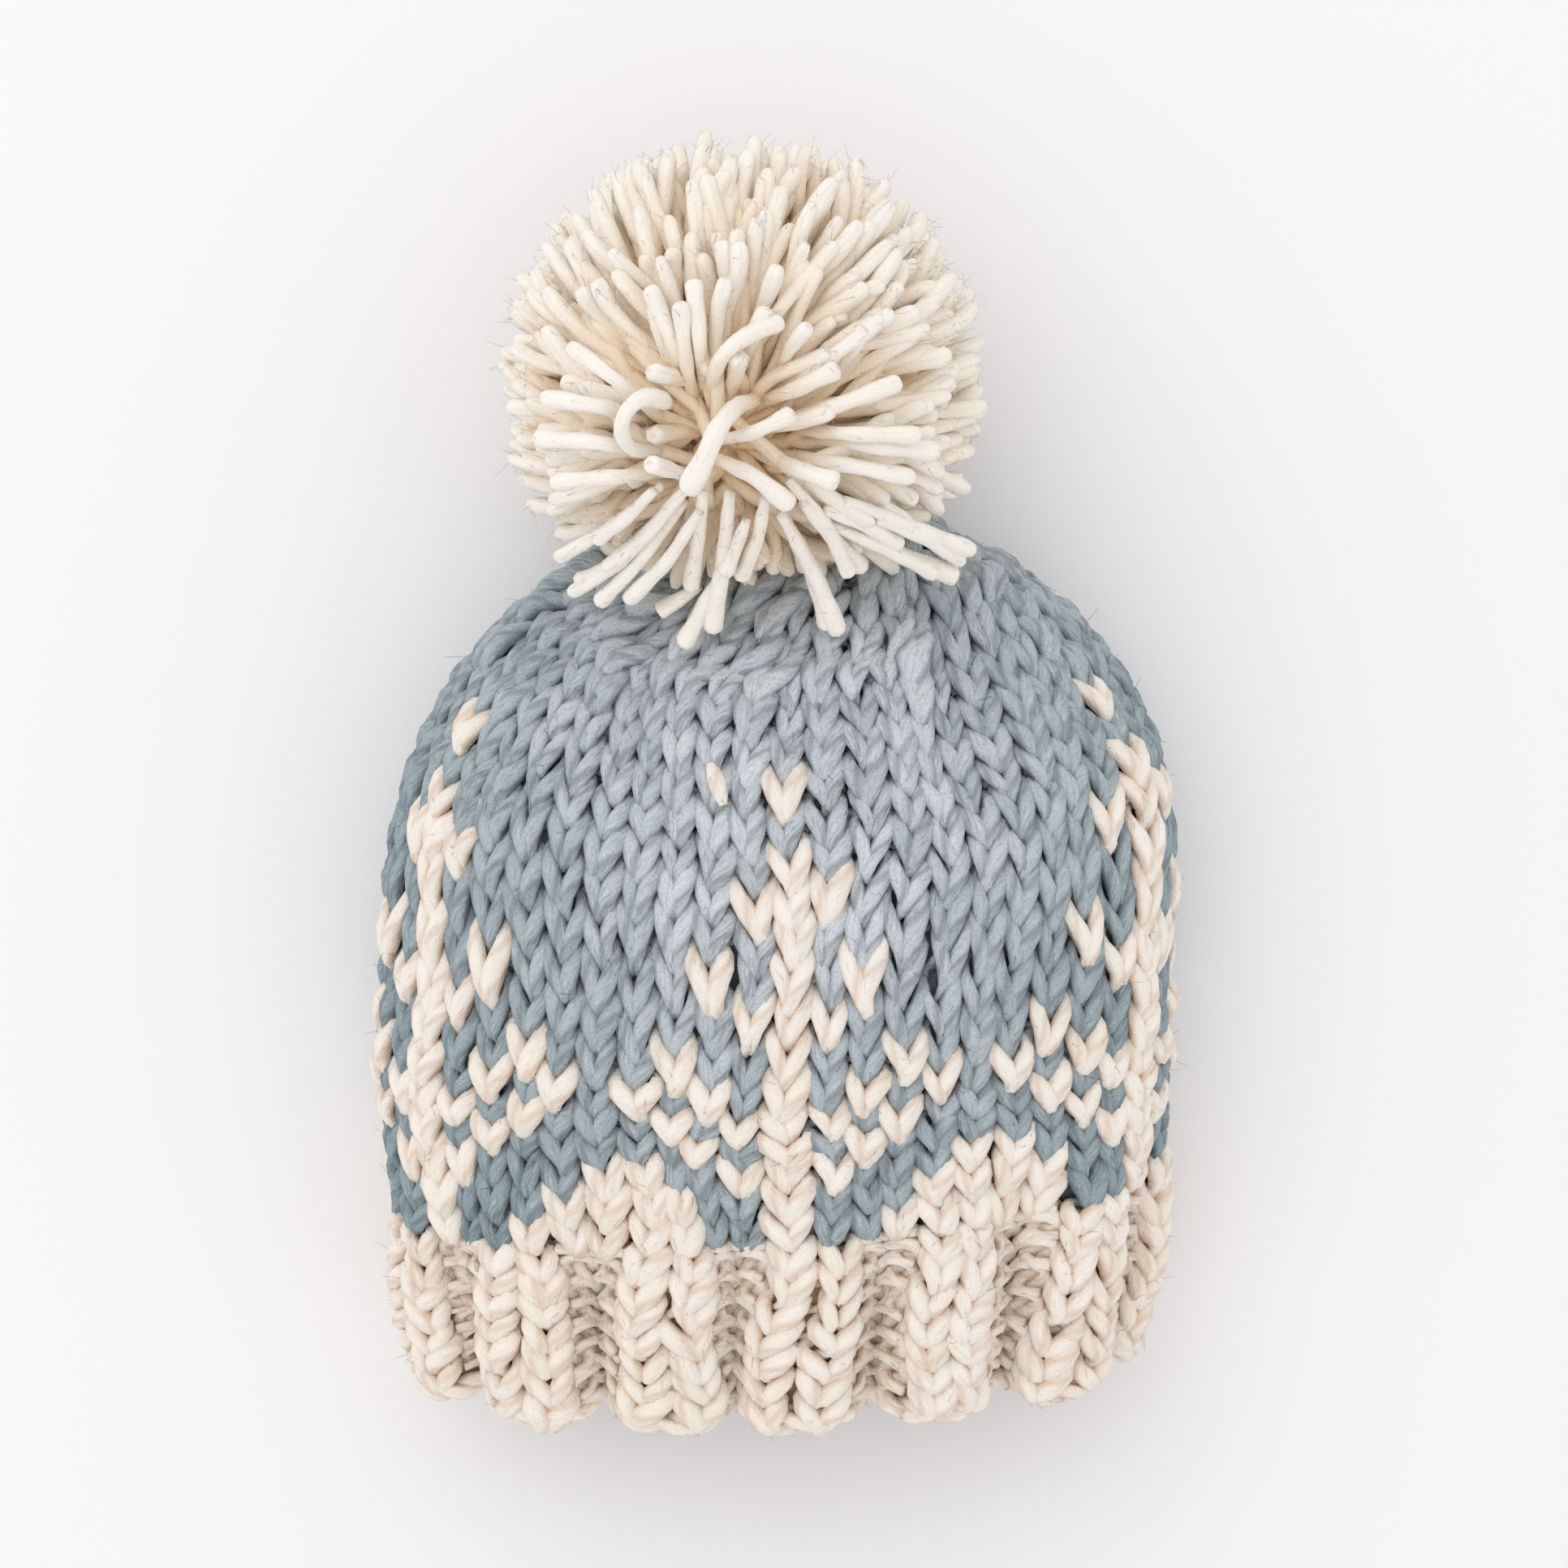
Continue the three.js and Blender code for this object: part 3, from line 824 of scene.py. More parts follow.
# Wool deep between the loops and strands, coloured with painted shade: dark, with a fine mottle and a fine
# relief.
def paintedShadeWool(name, colours):
    material = bpy.data.materials.new(name)
    material.use_nodes = True
    nodes = material.node_tree.nodes
    links = material.node_tree.links
    wool = nodes["Principled BSDF"]
    wool.inputs["Roughness"].default_value = 0.95
    wool.inputs["Specular IOR Level"].default_value = 0.1
    place = nodes.new("ShaderNodeTexCoord")
    mottle = nodes.new("ShaderNodeTexNoise")
    mottle.inputs["Scale"].default_value = 260.0
    mottle.inputs["Detail"].default_value = 4.0
    links.new(place.outputs["Object"], mottle.inputs["Vector"])
    ramp = nodes.new("ShaderNodeValToRGB")
    ramp.color_ramp.elements[0].position = 0.35
    ramp.color_ramp.elements[0].color = (*colours["deep"], 1.0)
    ramp.color_ramp.elements[1].position = 0.65
    ramp.color_ramp.elements[1].color = (*colours["near"], 1.0)
    links.new(mottle.outputs["Fac"], ramp.inputs["Fac"])
    links.new(ramp.outputs["Color"], wool.inputs["Base Color"])
    bump = nodes.new("ShaderNodeBump")
    bump.inputs["Strength"].default_value = 0.7
    bump.inputs["Distance"].default_value = 0.0006
    links.new(mottle.outputs["Fac"], bump.inputs["Height"])
    links.new(bump.outputs["Normal"], wool.inputs["Normal"])
    return material


# Painted shade for the linings and the ball's heart: the wool seen deep between loops and strands, darkened,
# warmly for the cream and the pompom.
blueInsideShade = {"deep": linear(70, 81, 88), "near": linear(108, 119, 126)}
creamInsideShade = {"deep": linear(178, 146, 114), "near": linear(208, 180, 152)}
pompomInsideShade = {"deep": linear(176, 130, 86), "near": linear(216, 176, 130)}


# Every piece stays with the hat and stands for one or more of its solids.
def pieceOf(piece, slot, *nodes):
    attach(piece, "root")
    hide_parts(*nodes)
    return piece


print("knitting the crown and the rib")
pattern = patternStitches()
dome = domeStitches()
ribbing = ribStitches()
front = np.abs(pattern["column"]) <= knit["frontColumns"]
blue = ~pattern["cream"]
blueFront = pick(pattern, front & blue)
blueBack = pick(pattern, ~front & blue)
pieceOf(knitLoops("crown_knit_front", crown, blueFront, blueWool), "crown_knit", "crown_body")
pieceOf(knitLoops("crown_knit_back", crown, blueBack, blueWool), "crown_knit", "crown_body")
pieceOf(knitLoops("crown_knit_dome", crown, dome, blueWool), "crown_knit", "crown_body")
pieceOf(knitLoops("tree_pattern_knit", crown, pick(pattern, ~blue), creamWool), "rib_knit", "crown_body")
pieceOf(knitLoops("rib_knit_pairs", rib, pick(ribbing, ~ribbing["purl"]), creamWool), "rib_knit", "rib_brim")
pieceOf(knitLoops("rib_purl_pairs", rib, pick(ribbing, ribbing["purl"]), creamWool), "rib_knit", "rib_brim")


# Points of the photograph, 1932 pixels wide, turned into places at a height above the table: the
# camera looks straight down, so a pixel's way from the middle shrinks in step with the height. The camera
# takes its own place and lens from here too.
photo = {
    "middle": 966,
    "pixelsPerMetre": 5700,
    "cameraX": 0.0013,
    "cameraY": -0.0006,
    "cameraHeight": 0.6,
    "sensor": 36.0,
    "lens": 63.7,
}


def placeOf(pixels, heights):
    scale = photo["pixelsPerMetre"] * photo["cameraHeight"] / (photo["cameraHeight"] - heights)
    x = axisX + photo["cameraX"] + (pixels[..., 0] - photo["middle"]) / scale
    y = photo["cameraY"] + (photo["middle"] - pixels[..., 1]) / scale
    return np.stack([x, y, heights], axis=-1)


# A closed band or cap inside the knitting that the eye meets between the loops: an outer skin and an
# inner skin a little deeper, joined along their free edges.
lining = {"outerDepth": -0.0015, "innerDepth": -0.0021, "columnStep": 0.25, "rowStep": 0.5}


def liningMesh(name, patch, rowFrom, rowTo, closedTip, material):
    rows = np.arange(rowFrom, rowTo + lining["rowStep"] / 2, lining["rowStep"])
    columns = np.arange(0, patch["columns"], lining["columnStep"]) + patch["columnLow"]
    v, c = np.meshgrid(rows, columns, indexing="ij")
    outer, _ = onPatch(patch, c, v, np.full(c.shape, lining["outerDepth"]))
    inner, _ = onPatch(patch, c, v, np.full(c.shape, lining["innerDepth"]))
    n = len(columns)
    count = len(rows)
    points = np.concatenate([outer.reshape(-1, 3), inner.reshape(-1, 3)])
    i = np.arange(count - 1)[:, None] * n
    j = np.arange(n)[None, :]
    k = (j + 1) % n
    skin = np.stack([i + j, i + k, i + n + k, i + n + j], axis=-1).reshape(-1, 4)
    back = skin[:, ::-1] + count * n
    low = np.stack([k[0], j[0], j[0] + count * n, k[0] + count * n], axis=-1)
    faces = [skin, back, low]
    top = (count - 1) * n
    if closedTip:
        points = np.concatenate([points, outer[-1].mean(axis=0)[None], inner[-1].mean(axis=0)[None]])
        outerTip, innerTip = len(points) - 2, len(points) - 1
        tips = [np.stack([top + j[0], top + k[0], np.full(n, outerTip)], axis=-1)]
        tips.append(np.stack([top + k[0], top + j[0], np.full(n, innerTip)], axis=-1))
        tips[1][:, :2] += count * n
    else:
        faces.append(np.stack([j[0], k[0], k[0] + count * n, j[0] + count * n], axis=-1) + top)
        tips = []
    mesh = bpy.data.meshes.new(name)
    faces = np.concatenate(faces).tolist()
    for tip in tips:
        faces += tip.tolist()
    mesh.from_pydata(points.tolist(), [], faces)
    return linkedPiece(name, mesh, material)


# The cast-on edge: two strands that wind round each other along the rib's last row. Each strand is
# a helix about that line, one turn to every column and a half or so, closed round the hat.
castOn = {
    "row": -7.05,
    "stepsPerColumn": 8,
    "columnsPerTurn": 1.6,
    "windRadius": 0.0012,
    "yarnRadius": 0.00155,
    "sides": 8,
    "shades": [0.2, 0.8],
}


def castOnEdge():
    columns = knit["ribColumns"]
    turns = round(columns / castOn["columnsPerTurn"])
    c = np.linspace(0, columns, columns * castOn["stepsPerColumn"] + 1)[None, :] - columns / 2
    phase = np.array([[0.0], [np.pi]])
    angle = 2 * np.pi * turns * c / columns + phase
    pitch = hat["ribLength"] / knit["ribRows"]
    v = castOn["row"] + castOn["windRadius"] / pitch * np.cos(angle)
    centres, outward = onPatch(rib, np.broadcast_to(c, v.shape), v, castOn["windRadius"] * np.sin(angle))
    centres[..., 2] = np.maximum(centres[..., 2], castOn["yarnRadius"] * yarn["restShare"])
    sideways, upwards = pathFrames(centres, outward)
    radius = np.full(v.shape, castOn["yarnRadius"])
    shade = np.array(castOn["shades"])
    return yarnMesh("cast_on_edge", centres, sideways, upwards, radius, castOn["sides"], shade, creamWool)


print("lining and cast-on edge")
# The linings wear painted shade, the darkened wool deep between the loops.
bluePaintedShade = paintedShadeWool("blueGreyPaintedShade", blueInsideShade)
creamPaintedShade = paintedShadeWool("creamPaintedShade", creamInsideShade)
crownLining = liningMesh("crown_lining", crown, 0.0, knit["crownRows"] - 0.5, True, bluePaintedShade)
ribLining = liningMesh("rib_lining", rib, -knit["ribRows"], 0.0, False, creamPaintedShade)
pieceOf(crownLining, "crown_knit", "crown_body")
pieceOf(ribLining, "rib_knit", "rib_brim")
pieceOf(castOnEdge(), "rib_knit", "rib_brim")


# The pompom: strands that leave the tie in the ball's heart and end on its surface.
pompom = {
    "strands": 1150,
    "steps": 12,
    "sides": 6,
    "placedSteps": 22,
    "placedSides": 8,
    "yarnRadius": 0.00158,
    "radius": 0.0487,
    "tie": (-0.0024, -0.0115, 0.019),
    "pole": (-0.05, -0.42, 0.9),
    "hang": (-0.15, -0.97, 0.2),
    "bend": 0.45,
    "towardsPole": 0.46,
    "uneven": 0.18,  # how much shorter than the ball's radius a strand may be
    "unevenPower": 1.7,
    "wave": 0.0028,
    "waves": (0.7, 1.4),
    "crownClearance": 0.0034,
    "slides": 3,
    "longestSlide": 0.02,
    "scatter": 0.12,
    "hangFrom": 0.72,  # cosine of the angle to the hanging way
    "hangLowest": -0.3,
    "hangShorter": 0.14,
    "hangLeftOut": 0.45,
    "openFrom": 0.6,  # cosine of the angle to the pole where strands begin to be left out
    "openOver": 0.28,
    "openLeftOut": 0.85,
    "deepestTip": -0.004,
    "tipRest": 1.1,
    "rootSpread": 0.0035,
    "headingSpread": 0.14,
    "thicknessSpread": 0.07,
    "placedFatness": 1.02,
    "tieFatness": 1.25,
}
tiePlace = ballCentre + np.array(pompom["tie"])
pole = np.array(pompom["pole"]) / np.linalg.norm(pompom["pole"])


# Shares of the way along a strand: even steps, then closer ones where its cut end rounds.
def strandSteps(steps, evenTo, closer):
    return np.concatenate([np.linspace(0, evenTo, steps - len(closer)), closer])


strandT = strandSteps(pompom["steps"], 0.9, [0.95, 0.976, 0.993, 1.0])
placedT = strandSteps(pompom["placedSteps"], 0.93, [0.96, 0.982, 0.995, 1.0])


# A strand's thickness along it: thinner where it is tied, fuller near its cut end, and round there.
def strandShare(t):
    marks = [0, 0.25, 0.75, 0.93, 0.96, 0.98, 0.994, 1.0]
    return np.interp(t, marks, [0.6, 0.8, 0.97, 1.13, 1.12, 1.0, 0.76, 0.4])


# How far points stand outside the knitting's middle surface, and the outward normal there, by the
# nearest point of a thinned grid of the crown.
crownGrid = crown["points"][::4, ::8].reshape(-1, 3)
crownNormals = crown["normals"][::4, ::8].reshape(-1, 3)
crownSquares = (crownGrid ** 2).sum(axis=1)[None]


def offCrown(points):
    flat = points.reshape(-1, 3)
    nearest = np.empty(len(flat), int)
    batch = 1000
    for start in range(0, len(flat), batch):
        part = flat[start:start + batch]
        square = (part ** 2).sum(axis=1)[:, None] - 2 * part @ crownGrid.T + crownSquares
        nearest[start:start + batch] = square.argmin(axis=1)
    normal = crownNormals[nearest]
    away = ((flat - crownGrid[nearest]) * normal).sum(axis=1)
    return away.reshape(points.shape[:-1]), normal.reshape(points.shape)


# Strands that would run into the crown slide out along its surface instead.
def keptOffCrown(centres):
    for _ in range(pompom["slides"]):
        away, normal = offCrown(centres)
        short = np.clip(pompom["crownClearance"] - away, 0, pompom["longestSlide"])
        centres = centres + normal * short[..., None]
    centres[..., 2] = np.maximum(centres[..., 2], pompom["yarnRadius"])
    return centres


# Each strand is a quadratic arc from the tie to its cut tip, bent first towards the ball's pole, with
# a slow sideways wave. The tips are spread evenly over the ball on a spiral and then scattered. Some are
# left out where the ball opens at its pole, where it hangs over the crown and inside the knitting.
def scatteredStrands():
    count = pompom["strands"]
    number = np.arange(count)
    z = 1 - (2 * number + 1) / count
    turn = number * np.pi * (3 - np.sqrt(5))
    across = np.sqrt(1 - z ** 2)
    direction = np.stack([across * np.cos(turn), across * np.sin(turn), z], axis=-1)
    direction = unit(direction + pompom["scatter"] * rng.standard_normal((count, 3)))
    facing = direction @ pole
    hanging = direction @ np.array(pompom["hang"]) > pompom["hangFrom"]
    hanging &= direction[:, 2] > pompom["hangLowest"]
    spared = rng.random(count)
    shorter = pompom["uneven"] * rng.random(count) ** pompom["unevenPower"]
    reach = pompom["radius"] * (1 - shorter - pompom["hangShorter"] * hanging)
    tip = ballCentre + direction * reach[:, None]
    outOfCrown, _ = offCrown(tip)
    keep = spared > np.clip((facing - pompom["openFrom"]) / pompom["openOver"], 0, pompom["openLeftOut"])
    keep &= ~hanging | (spared > pompom["hangLeftOut"])
    keep &= outOfCrown > pompom["deepestTip"]
    tip = tip[keep]
    count = len(tip)
    tip[:, 2] = np.maximum(tip[:, 2], pompom["yarnRadius"] * pompom["tipRest"])
    root = tiePlace + pompom["rootSpread"] * rng.standard_normal((count, 3))
    span = tip - root
    length = np.linalg.norm(span, axis=1, keepdims=True)
    leaving = (1 - pompom["towardsPole"]) * span / length + pompom["towardsPole"] * pole
    leaving = unit(leaving + pompom["headingSpread"] * rng.standard_normal((count, 3)))
    control = root + leaving * length * pompom["bend"]
    t = strandT[None, :, None]
    centres = (1 - t) ** 2 * root[:, None] + 2 * t * (1 - t) * control[:, None] + t ** 2 * tip[:, None]
    side = unit(np.cross(span, rng.standard_normal((count, 3))))
    waves = rng.uniform(*pompom["waves"], (count, 1))
    wave = np.sin(2 * np.pi * (strandT[None] * waves + rng.random((count, 1))))
    centres = centres + side[:, None] * (wave * strandT * pompom["wave"])[..., None]
    return keptOffCrown(centres)


# A smooth path through a few points: straight pieces divided evenly, averaged with their neighbours
# again and again, then divided as a strand is.
smoothing = {"steps": 60, "rounds": 40}


def smoothPath(points):
    steps = smoothing["steps"]
    step = summed(np.linalg.norm(np.diff(points, axis=0), axis=1), 0)
    even = np.linspace(0, step[-1], steps + 1)
    path = np.stack([np.interp(even, step, points[:, axis]) for axis in range(3)], axis=-1)
    for _ in range(smoothing["rounds"]):
        path[1:-1] = 0.25 * path[:-2] + 0.5 * path[1:-1] + 0.25 * path[2:]
    marks = np.arange(steps + 1)
    return np.stack([np.interp(placedT * steps, marks, path[:, axis]) for axis in range(3)], axis=-1)


# Strands that show one by one, as pixels from root to tip with a height in millimetres each: those that
# fall over the crown's front, those round the open middle, and the one that ties the ball.
fallingStrands = [
    [(867, 607, 84), (860, 665, 74), (851, 724, 62)],
    [(899, 607, 84), (892, 690, 70), (877, 777, 57)],
    [(925, 668, 70), (880, 722, 63), (841, 796, 56)],
    [(862, 722, 60), (838, 738, 58), (811, 754, 57)],
    [(943, 612, 84), (935, 660, 76), (913, 712, 66)],
    [(962, 632, 80), (1004, 706, 66), (1033, 780, 56)],
    [(972, 592, 86), (1018, 645, 78), (1047, 708, 66)],
    [(974, 650, 74), (1004, 715, 63), (1021, 774, 56)],
    [(1016, 628, 80), (1065, 646, 74), (1109, 670, 66)],
    [(1018, 644, 76), (1090, 675, 67), (1155, 707, 57)],
    [(1040, 650, 72), (1110, 684, 62), (1178, 711, 54)],
    [(1040, 616, 80), (1122, 648, 69), (1199, 679, 57)],
    [(862, 630, 82), (822, 693, 70), (773, 740, 60)],
    [(845, 602, 85), (796, 660, 74), (747, 701, 64)],
    [(844, 618, 80), (790, 690, 68), (737, 744, 57)],
    [(818, 640, 77), (762, 696, 66), (703, 731, 55)],
    [(816, 598, 82), (752, 650, 72), (686, 688, 60)],
    [(806, 604, 85), (770, 640, 78), (733, 666, 72)],
    [(990, 620, 84), (1030, 668, 72), (1062, 700, 62)],
    [(920, 640, 80), (905, 680, 74), (893, 706, 70)],
    [(800, 660, 72), (742, 705, 62), (712, 716, 57)],
    [(1080, 640, 74), (1140, 664, 66), (1186, 692, 56)],
]
middleStrands = [
    [(831, 545, 74), (780, 559, 87), (760, 534, 93), (769, 500, 95), (799, 483, 93), (822, 497, 87)],
    [(881, 497, 76), (877, 465, 88), (891, 433, 94), (923, 410, 95), (964, 396, 92)],
    [(950, 479, 76), (973, 428, 90), (996, 402, 95)],
    [(930, 497, 76), (980, 480, 89), (1033, 454, 93)],
    [(881, 543, 80), (927, 534, 92), (978, 509, 96)],
    [(877, 562, 78), (927, 585, 91), (976, 624, 87)],
    [(941, 557, 76), (987, 580, 88), (1033, 594, 90)],
    [(950, 557, 74), (1040, 572, 86), (1127, 589, 82)],
    [(987, 539, 76), (1070, 548, 87), (1157, 557, 80)],
    [(980, 530, 78), (1060, 535, 91), (1134, 536, 86)],
    [(845, 585, 80), (822, 578, 91), (800, 571, 95)],
    [(817, 582, 78), (750, 588, 88), (680, 594, 82)],
    [(850, 500, 74), (832, 430, 90), (800, 352, 92)],
    [(862, 520, 72), (846, 455, 88), (838, 372, 95)],
    [(870, 500, 76), (862, 420, 92), (854, 344, 93)],
    [(905, 470, 72), (925, 420, 90), (945, 380, 94)],
    [(830, 530, 76), (762, 470, 92), (700, 425, 90)],
    [(812, 520, 74), (740, 500, 90), (668, 490, 84)],
    [(800, 560, 76), (740, 545, 90), (660, 540, 80)],
    [(920, 500, 74), (1010, 450, 91), (1100, 384, 86)],
    [(900, 480, 74), (960, 380, 91), (1030, 300, 84)],
    [(960, 520, 78), (1030, 500, 90), (1110, 470, 88)],
]
tieStrands = [
    [(940, 490, 78), (905, 500, 91), (882, 530, 99), (868, 568, 100), (846, 606, 95)],
]


# The smooth path of each row of a table, as one array.
def placedPaths(table):
    rows = [np.array(row, float) for row in table]
    return np.stack([smoothPath(placeOf(marks[:, :2], marks[:, 2] / 1000)) for marks in rows])


def placedStrands(table):
    return keptOffCrown(placedPaths(table))


# Directions across each path, carried along it from a start without turning round it, for paths that
# curl.
def carriedFrames(centres, start):
    tangent = unit(np.gradient(centres, axis=1))
    upwards = np.empty_like(centres)
    carried = start
    for step in range(centres.shape[1]):
        along = tangent[:, step]
        carried = unit(carried - (carried * along).sum(axis=-1, keepdims=True) * along)
        upwards[:, step] = carried
    return np.cross(tangent, upwards), upwards


def strandMesh(name, centres, t, sides, fatness):
    count = len(centres)
    start = np.cross(centres[:, -1] - centres[:, 0], rng.standard_normal((count, 3)))
    sideways, upwards = carriedFrames(centres, start)
    uneven = 1 + pompom["thicknessSpread"] * rng.standard_normal((count, 1))
    radius = pompom["yarnRadius"] * fatness * strandShare(t)[None] * uneven
    return yarnMesh(name, centres, sideways, upwards, radius, sides, rng.random(count), pompomWool)


# The heart of the ball: a sphere with bumps about as wide as a strand, which are the product of a
# sine of each of the direction's parts.
heart = {
    "radius": 0.0215,
    "rows": 60,
    "columns": 96,
    "waves": 9,
    "phases": (2, 0, 1),
    "leastShare": 0.93,
    "bumpShare": 0.14,
    "behind": 0.006,
}


def coreMesh(material):
    rows, columns = heart["rows"], heart["columns"]
    polar = np.linspace(0, np.pi, rows)[:, None]
    turn = np.linspace(0, 2 * np.pi, columns, endpoint=False)[None]
    ring = np.sin(polar)
    direction = np.stack([ring * np.cos(turn), ring * np.sin(turn), np.cos(polar) + 0 * turn], axis=-1)
    bump = np.abs(np.sin(heart["waves"] * direction + np.array(heart["phases"])).prod(axis=-1))
    middle = (ballCentre + tiePlace) / 2 - heart["behind"] * pole
    share = heart["leastShare"] + heart["bumpShare"] * bump
    points = middle + direction * (heart["radius"] * share)[..., None]
    points = keptOffCrown(points)
    i = (np.arange(rows - 3) * columns)[:, None]
    j = np.arange(columns)[None]
    k = (j + 1) % columns
    grid = np.stack([i + j, i + columns + j, i + columns + k, i + k], axis=-1).reshape(-1, 4).tolist()
    body = points[1:-1].reshape(-1, 3)
    north, south = len(body), len(body) + 1
    last = (rows - 3) * columns
    caps = [[north, a, b] for a, b in zip(j[0], k[0])]
    caps += [[south, last + b, last + a] for a, b in zip(j[0], k[0])]
    mesh = bpy.data.meshes.new("pompom_heart")
    mesh.from_pydata(np.concatenate([body, points[:1, 0], points[-1:, 0]]).tolist(), [], grid + caps)
    return linkedPiece("pompom_heart", mesh, material)


# One leg of a stitch beside the lone top stitch, knitted in cream: a short leaf of yarn at the front
# of the cloth, whose thickness follows half a sine. Its points are pixels with heights in millimetres.
leg = {
    "points": [(874, 938, 60), (882, 964, 60), (891, 992, 60)],
    "lift": 0.0029,
    "radius": 0.0021,
    "endShare": 0.4,
    "sides": 8,
    "shade": 0.6,
}


def creamLeg():
    path = placedPaths([leg["points"]])
    away, normal = offCrown(path)
    path = path + normal * (leg["lift"] - away)[..., None]
    sideways, upwards = pathFrames(path, normal)
    radius = leg["radius"] * (leg["endShare"] + (1 - leg["endShare"]) * np.sin(np.pi * placedT))[None]
    shade = np.array([leg["shade"]])
    return yarnMesh("cream_leg", path, sideways, upwards, radius, leg["sides"], shade, creamWool)


print("cutting the pompom")
pieceOf(creamLeg(), "rib_knit", "crown_body")
bundles = ("pompom_front", "pompom_back")
sides, placedSides = pompom["sides"], pompom["placedSides"]
scattered = strandMesh("pompom_strands", scatteredStrands(), strandT, sides, 1.0)
placed = placedStrands(fallingStrands + middleStrands)
inFront = strandMesh("pompom_front_strands", placed, placedT, placedSides, pompom["placedFatness"])
tied = placedStrands(tieStrands)
tie = strandMesh("tie_strand", tied, placedT, placedSides, pompom["tieFatness"])
pieceOf(scattered, "pompom_yarn", *bundles)
pieceOf(inFront, "pompom_yarn", *bundles)
pieceOf(tie, "tie_yarn", "pompom_tie")
# The ball's heart wears painted shade, the darkened wool deep between the strands.
pieceOf(coreMesh(paintedShadeWool("pompomPaintedShade", pompomInsideShade)), "pompom_yarn", *bundles)


# Loose fibres: thin three-sided hairs that leave a yarn sideways and curl back towards it.
fuzz = {
    "blue": 8500,
    "cream": 5500,
    "pompom": 12000,
    "length": 0.0018,
    "lengthShares": (0.5, 1.6),
    "radius": 0.00006,
    "taper": (1.0, 0.85, 0.5),
    "sides": 3,
    "rootDepth": 0.9,
    "outwards": (0.2, 0.9),
    "spread": 0.5,
    "curlSpread": 0.9,
    "backwards": 0.4,
    "curl": 0.6,
}


# Each fibre runs straight along its heading, and drifts towards its curl with the square of the way.
def fuzzMesh(name, wool, count):
    runs = [run for run in yarnRuns if run[0] is wool]
    sizes = np.array([run[1].shape[0] for run in runs])
    which = rng.choice(len(runs), count, p=sizes / sizes.sum())
    roots = np.empty((count, 3))
    outs = np.empty((count, 3))
    alongs = np.empty((count, 3))
    for index, (_, centres, sideways, upwards, radius) in enumerate(runs):
        mine = np.flatnonzero(which == index)
        strand = rng.integers(0, centres.shape[0], len(mine))
        step = rng.integers(1, centres.shape[1] - 1, len(mine))
        angle = rng.uniform(0, 2 * np.pi, len(mine))[:, None]
        out = np.cos(angle) * sideways[strand, step] + np.sin(angle) * upwards[strand, step]
        roots[mine] = centres[strand, step] + out * radius[strand, step][:, None] * fuzz["rootDepth"]
        outs[mine] = out
        alongs[mine] = centres[strand, step + 1] - centres[strand, step - 1]
    length = fuzz["length"] * rng.uniform(*fuzz["lengthShares"], (count, 1))
    heading = outs * rng.uniform(*fuzz["outwards"], (count, 1))
    heading = heading + unit(alongs) * rng.choice([-1, 1], (count, 1))
    heading = unit(heading + fuzz["spread"] * rng.standard_normal((count, 3)))
    curl = unit(heading + fuzz["curlSpread"] * rng.standard_normal((count, 3)) - fuzz["backwards"] * outs)
    t = np.linspace(0, 1, len(fuzz["taper"]))[None, :, None]
    centres = roots[:, None] + heading[:, None] * length[:, None] * t
    centres = centres + curl[:, None] * length[:, None] * fuzz["curl"] * t ** 2
    centres[..., 2] = np.maximum(centres[..., 2], 2 * fuzz["radius"])
    reference = unit(np.cross(heading, curl))
    sideways, upwards = pathFrames(centres, np.broadcast_to(reference[:, None], centres.shape))
    radius = np.full(centres.shape[:2], fuzz["radius"]) * np.array(fuzz["taper"])
    return tubeMesh(name, centres, sideways, upwards, radius, fuzz["sides"], 0.0, rng.random(count), wool)


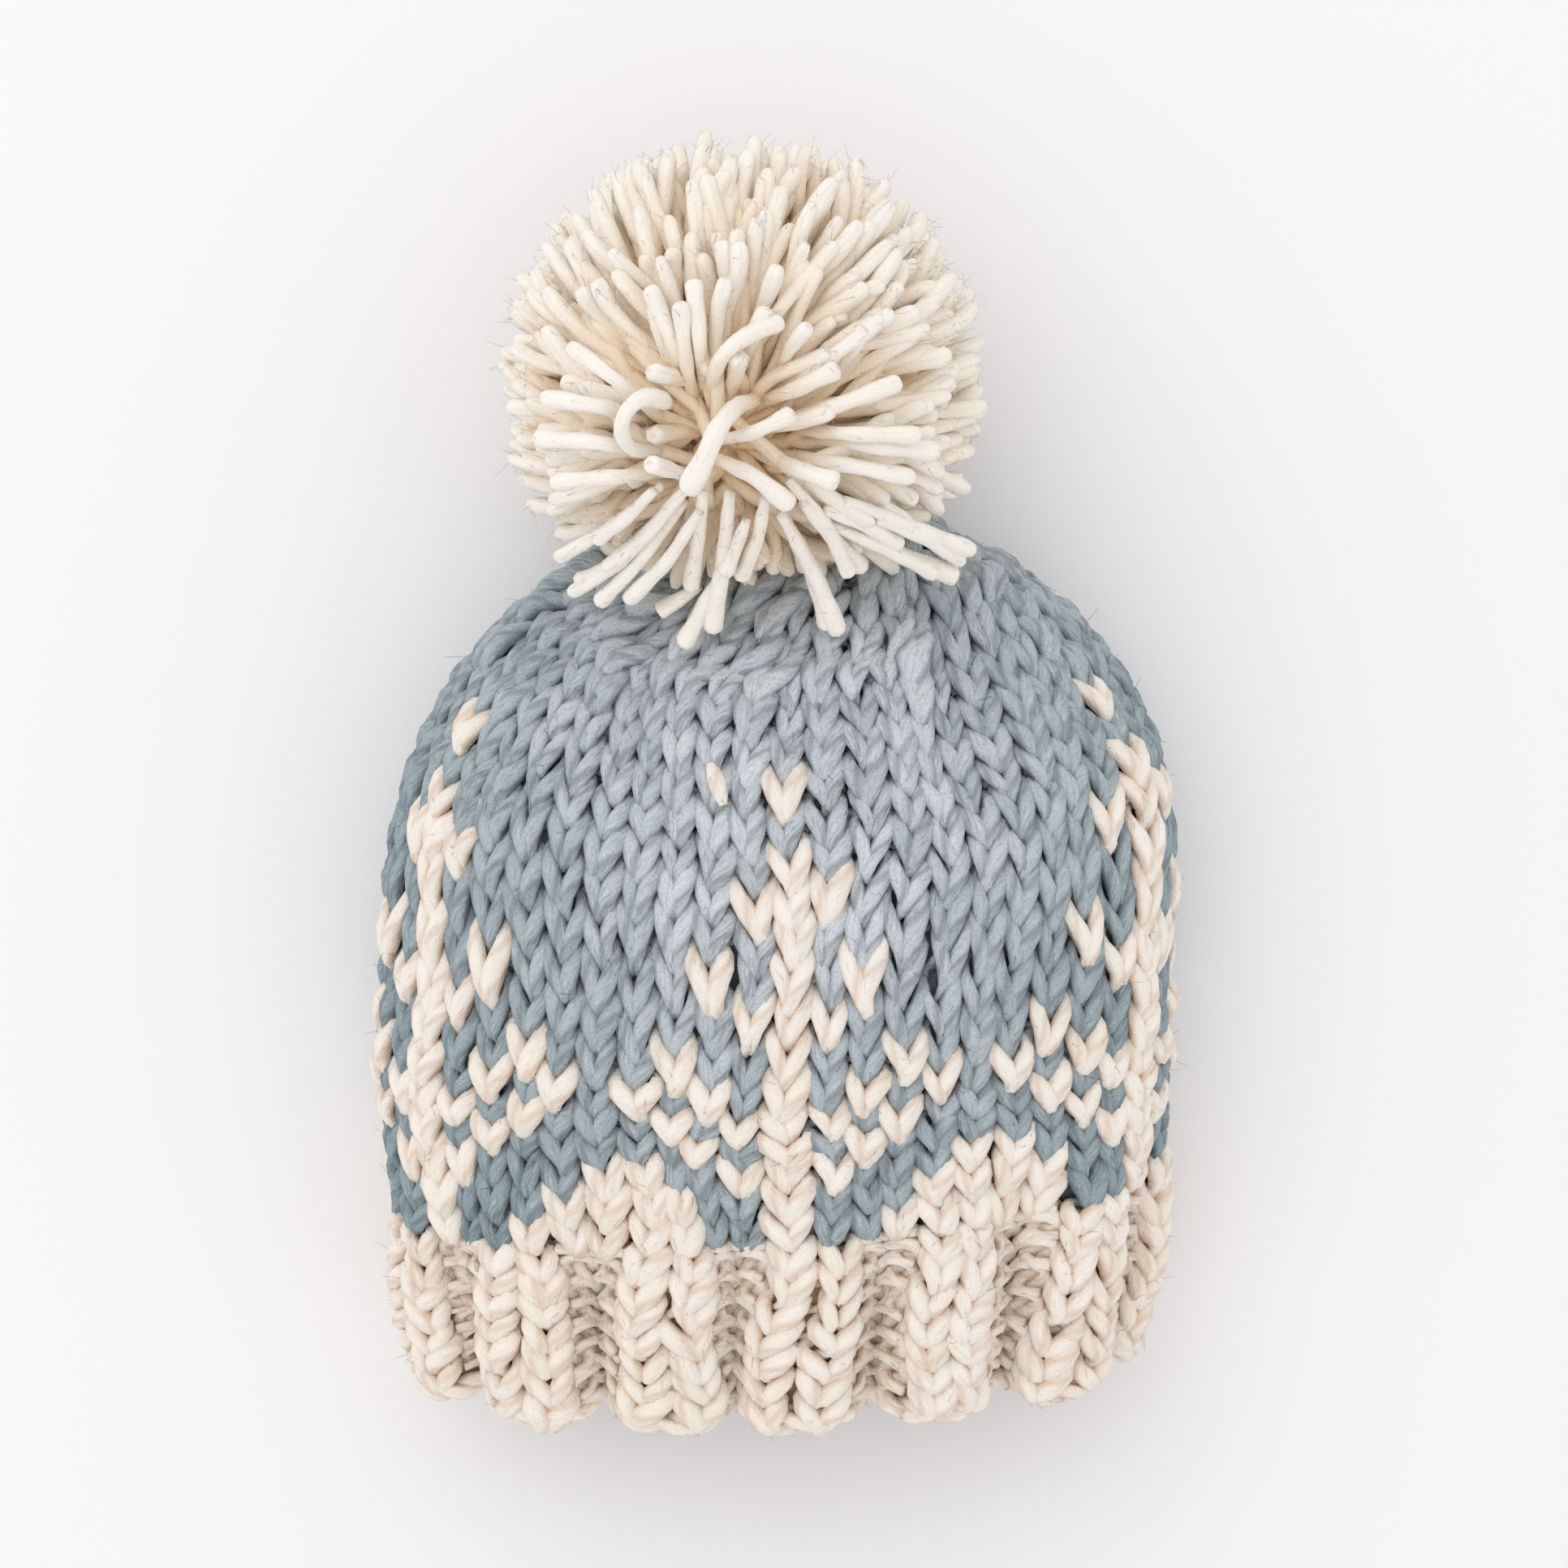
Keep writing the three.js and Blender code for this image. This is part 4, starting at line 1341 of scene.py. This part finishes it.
print("loose fibres")
pieceOf(fuzzMesh("crown_fibres", blueWool, fuzz["blue"]), "crown_knit", "crown_body")
pieceOf(fuzzMesh("rib_fibres", creamWool, fuzz["cream"]), "rib_knit", "rib_brim")
pieceOf(fuzzMesh("pompom_fibres", pompomWool, fuzz["pompom"]), "pompom_yarn", *bundles)


# A pale table, a broad soft light from the upper left and an even surrounding light.
studio = {
    "floorHalf": 3.0,
    "windowSize": 1.4,
    "windowWatts": 4.2,
    "windowPlace": (-0.75, 0.75, 1.3),
    "roomStrength": 0.935,
}


def makeStage():
    floor = bpy.data.meshes.new("floor")
    half = studio["floorHalf"]
    corners = [(-half, -half, 0), (half, -half, 0), (half, half, 0), (-half, half, 0)]
    floor.from_pydata(corners, [], [(0, 1, 2, 3)])
    table = bpy.data.objects.new("floor", floor)
    bpy.context.scene.collection.objects.link(table)
    paint = bpy.data.materials.new("paleTable")
    paint.use_nodes = True
    surface = paint.node_tree.nodes["Principled BSDF"]
    surface.inputs["Base Color"].default_value = (*linear(247, 246, 247), 1.0)
    surface.inputs["Roughness"].default_value = 0.9
    surface.inputs["Specular IOR Level"].default_value = 0.1
    floor.materials.append(paint)


def makeLight():
    window = bpy.data.lights.new("window", "AREA")
    window.shape = "SQUARE"
    window.size = studio["windowSize"]
    window.energy = studio["windowWatts"]
    window.color = (1.0, 0.985, 0.97)
    lamp = bpy.data.objects.new("window", window)
    lamp.location = studio["windowPlace"]
    aim = -lamp.location.normalized()
    lamp.rotation_euler = aim.to_track_quat("-Z", "Y").to_euler()
    bpy.context.scene.collection.objects.link(lamp)
    world = bpy.data.worlds.new("room")
    world.use_nodes = True
    background = world.node_tree.nodes["Background"]
    background.inputs["Color"].default_value = (1.0, 0.99, 0.99, 1.0)
    background.inputs["Strength"].default_value = studio["roomStrength"]
    bpy.context.scene.world = world


# The camera looks straight down at the hat from 60 cm.
def makeCamera():
    view = bpy.data.cameras.new("camera")
    view.sensor_width = photo["sensor"]
    view.lens = photo["lens"]
    camera = bpy.data.objects.new("camera", view)
    camera.location = (axisX + photo["cameraX"], photo["cameraY"], photo["cameraHeight"])
    bpy.context.scene.collection.objects.link(camera)
    bpy.context.scene.camera = camera


makeStage()
makeLight()
makeCamera()
bpy.context.scene.view_settings.view_transform = "Standard"
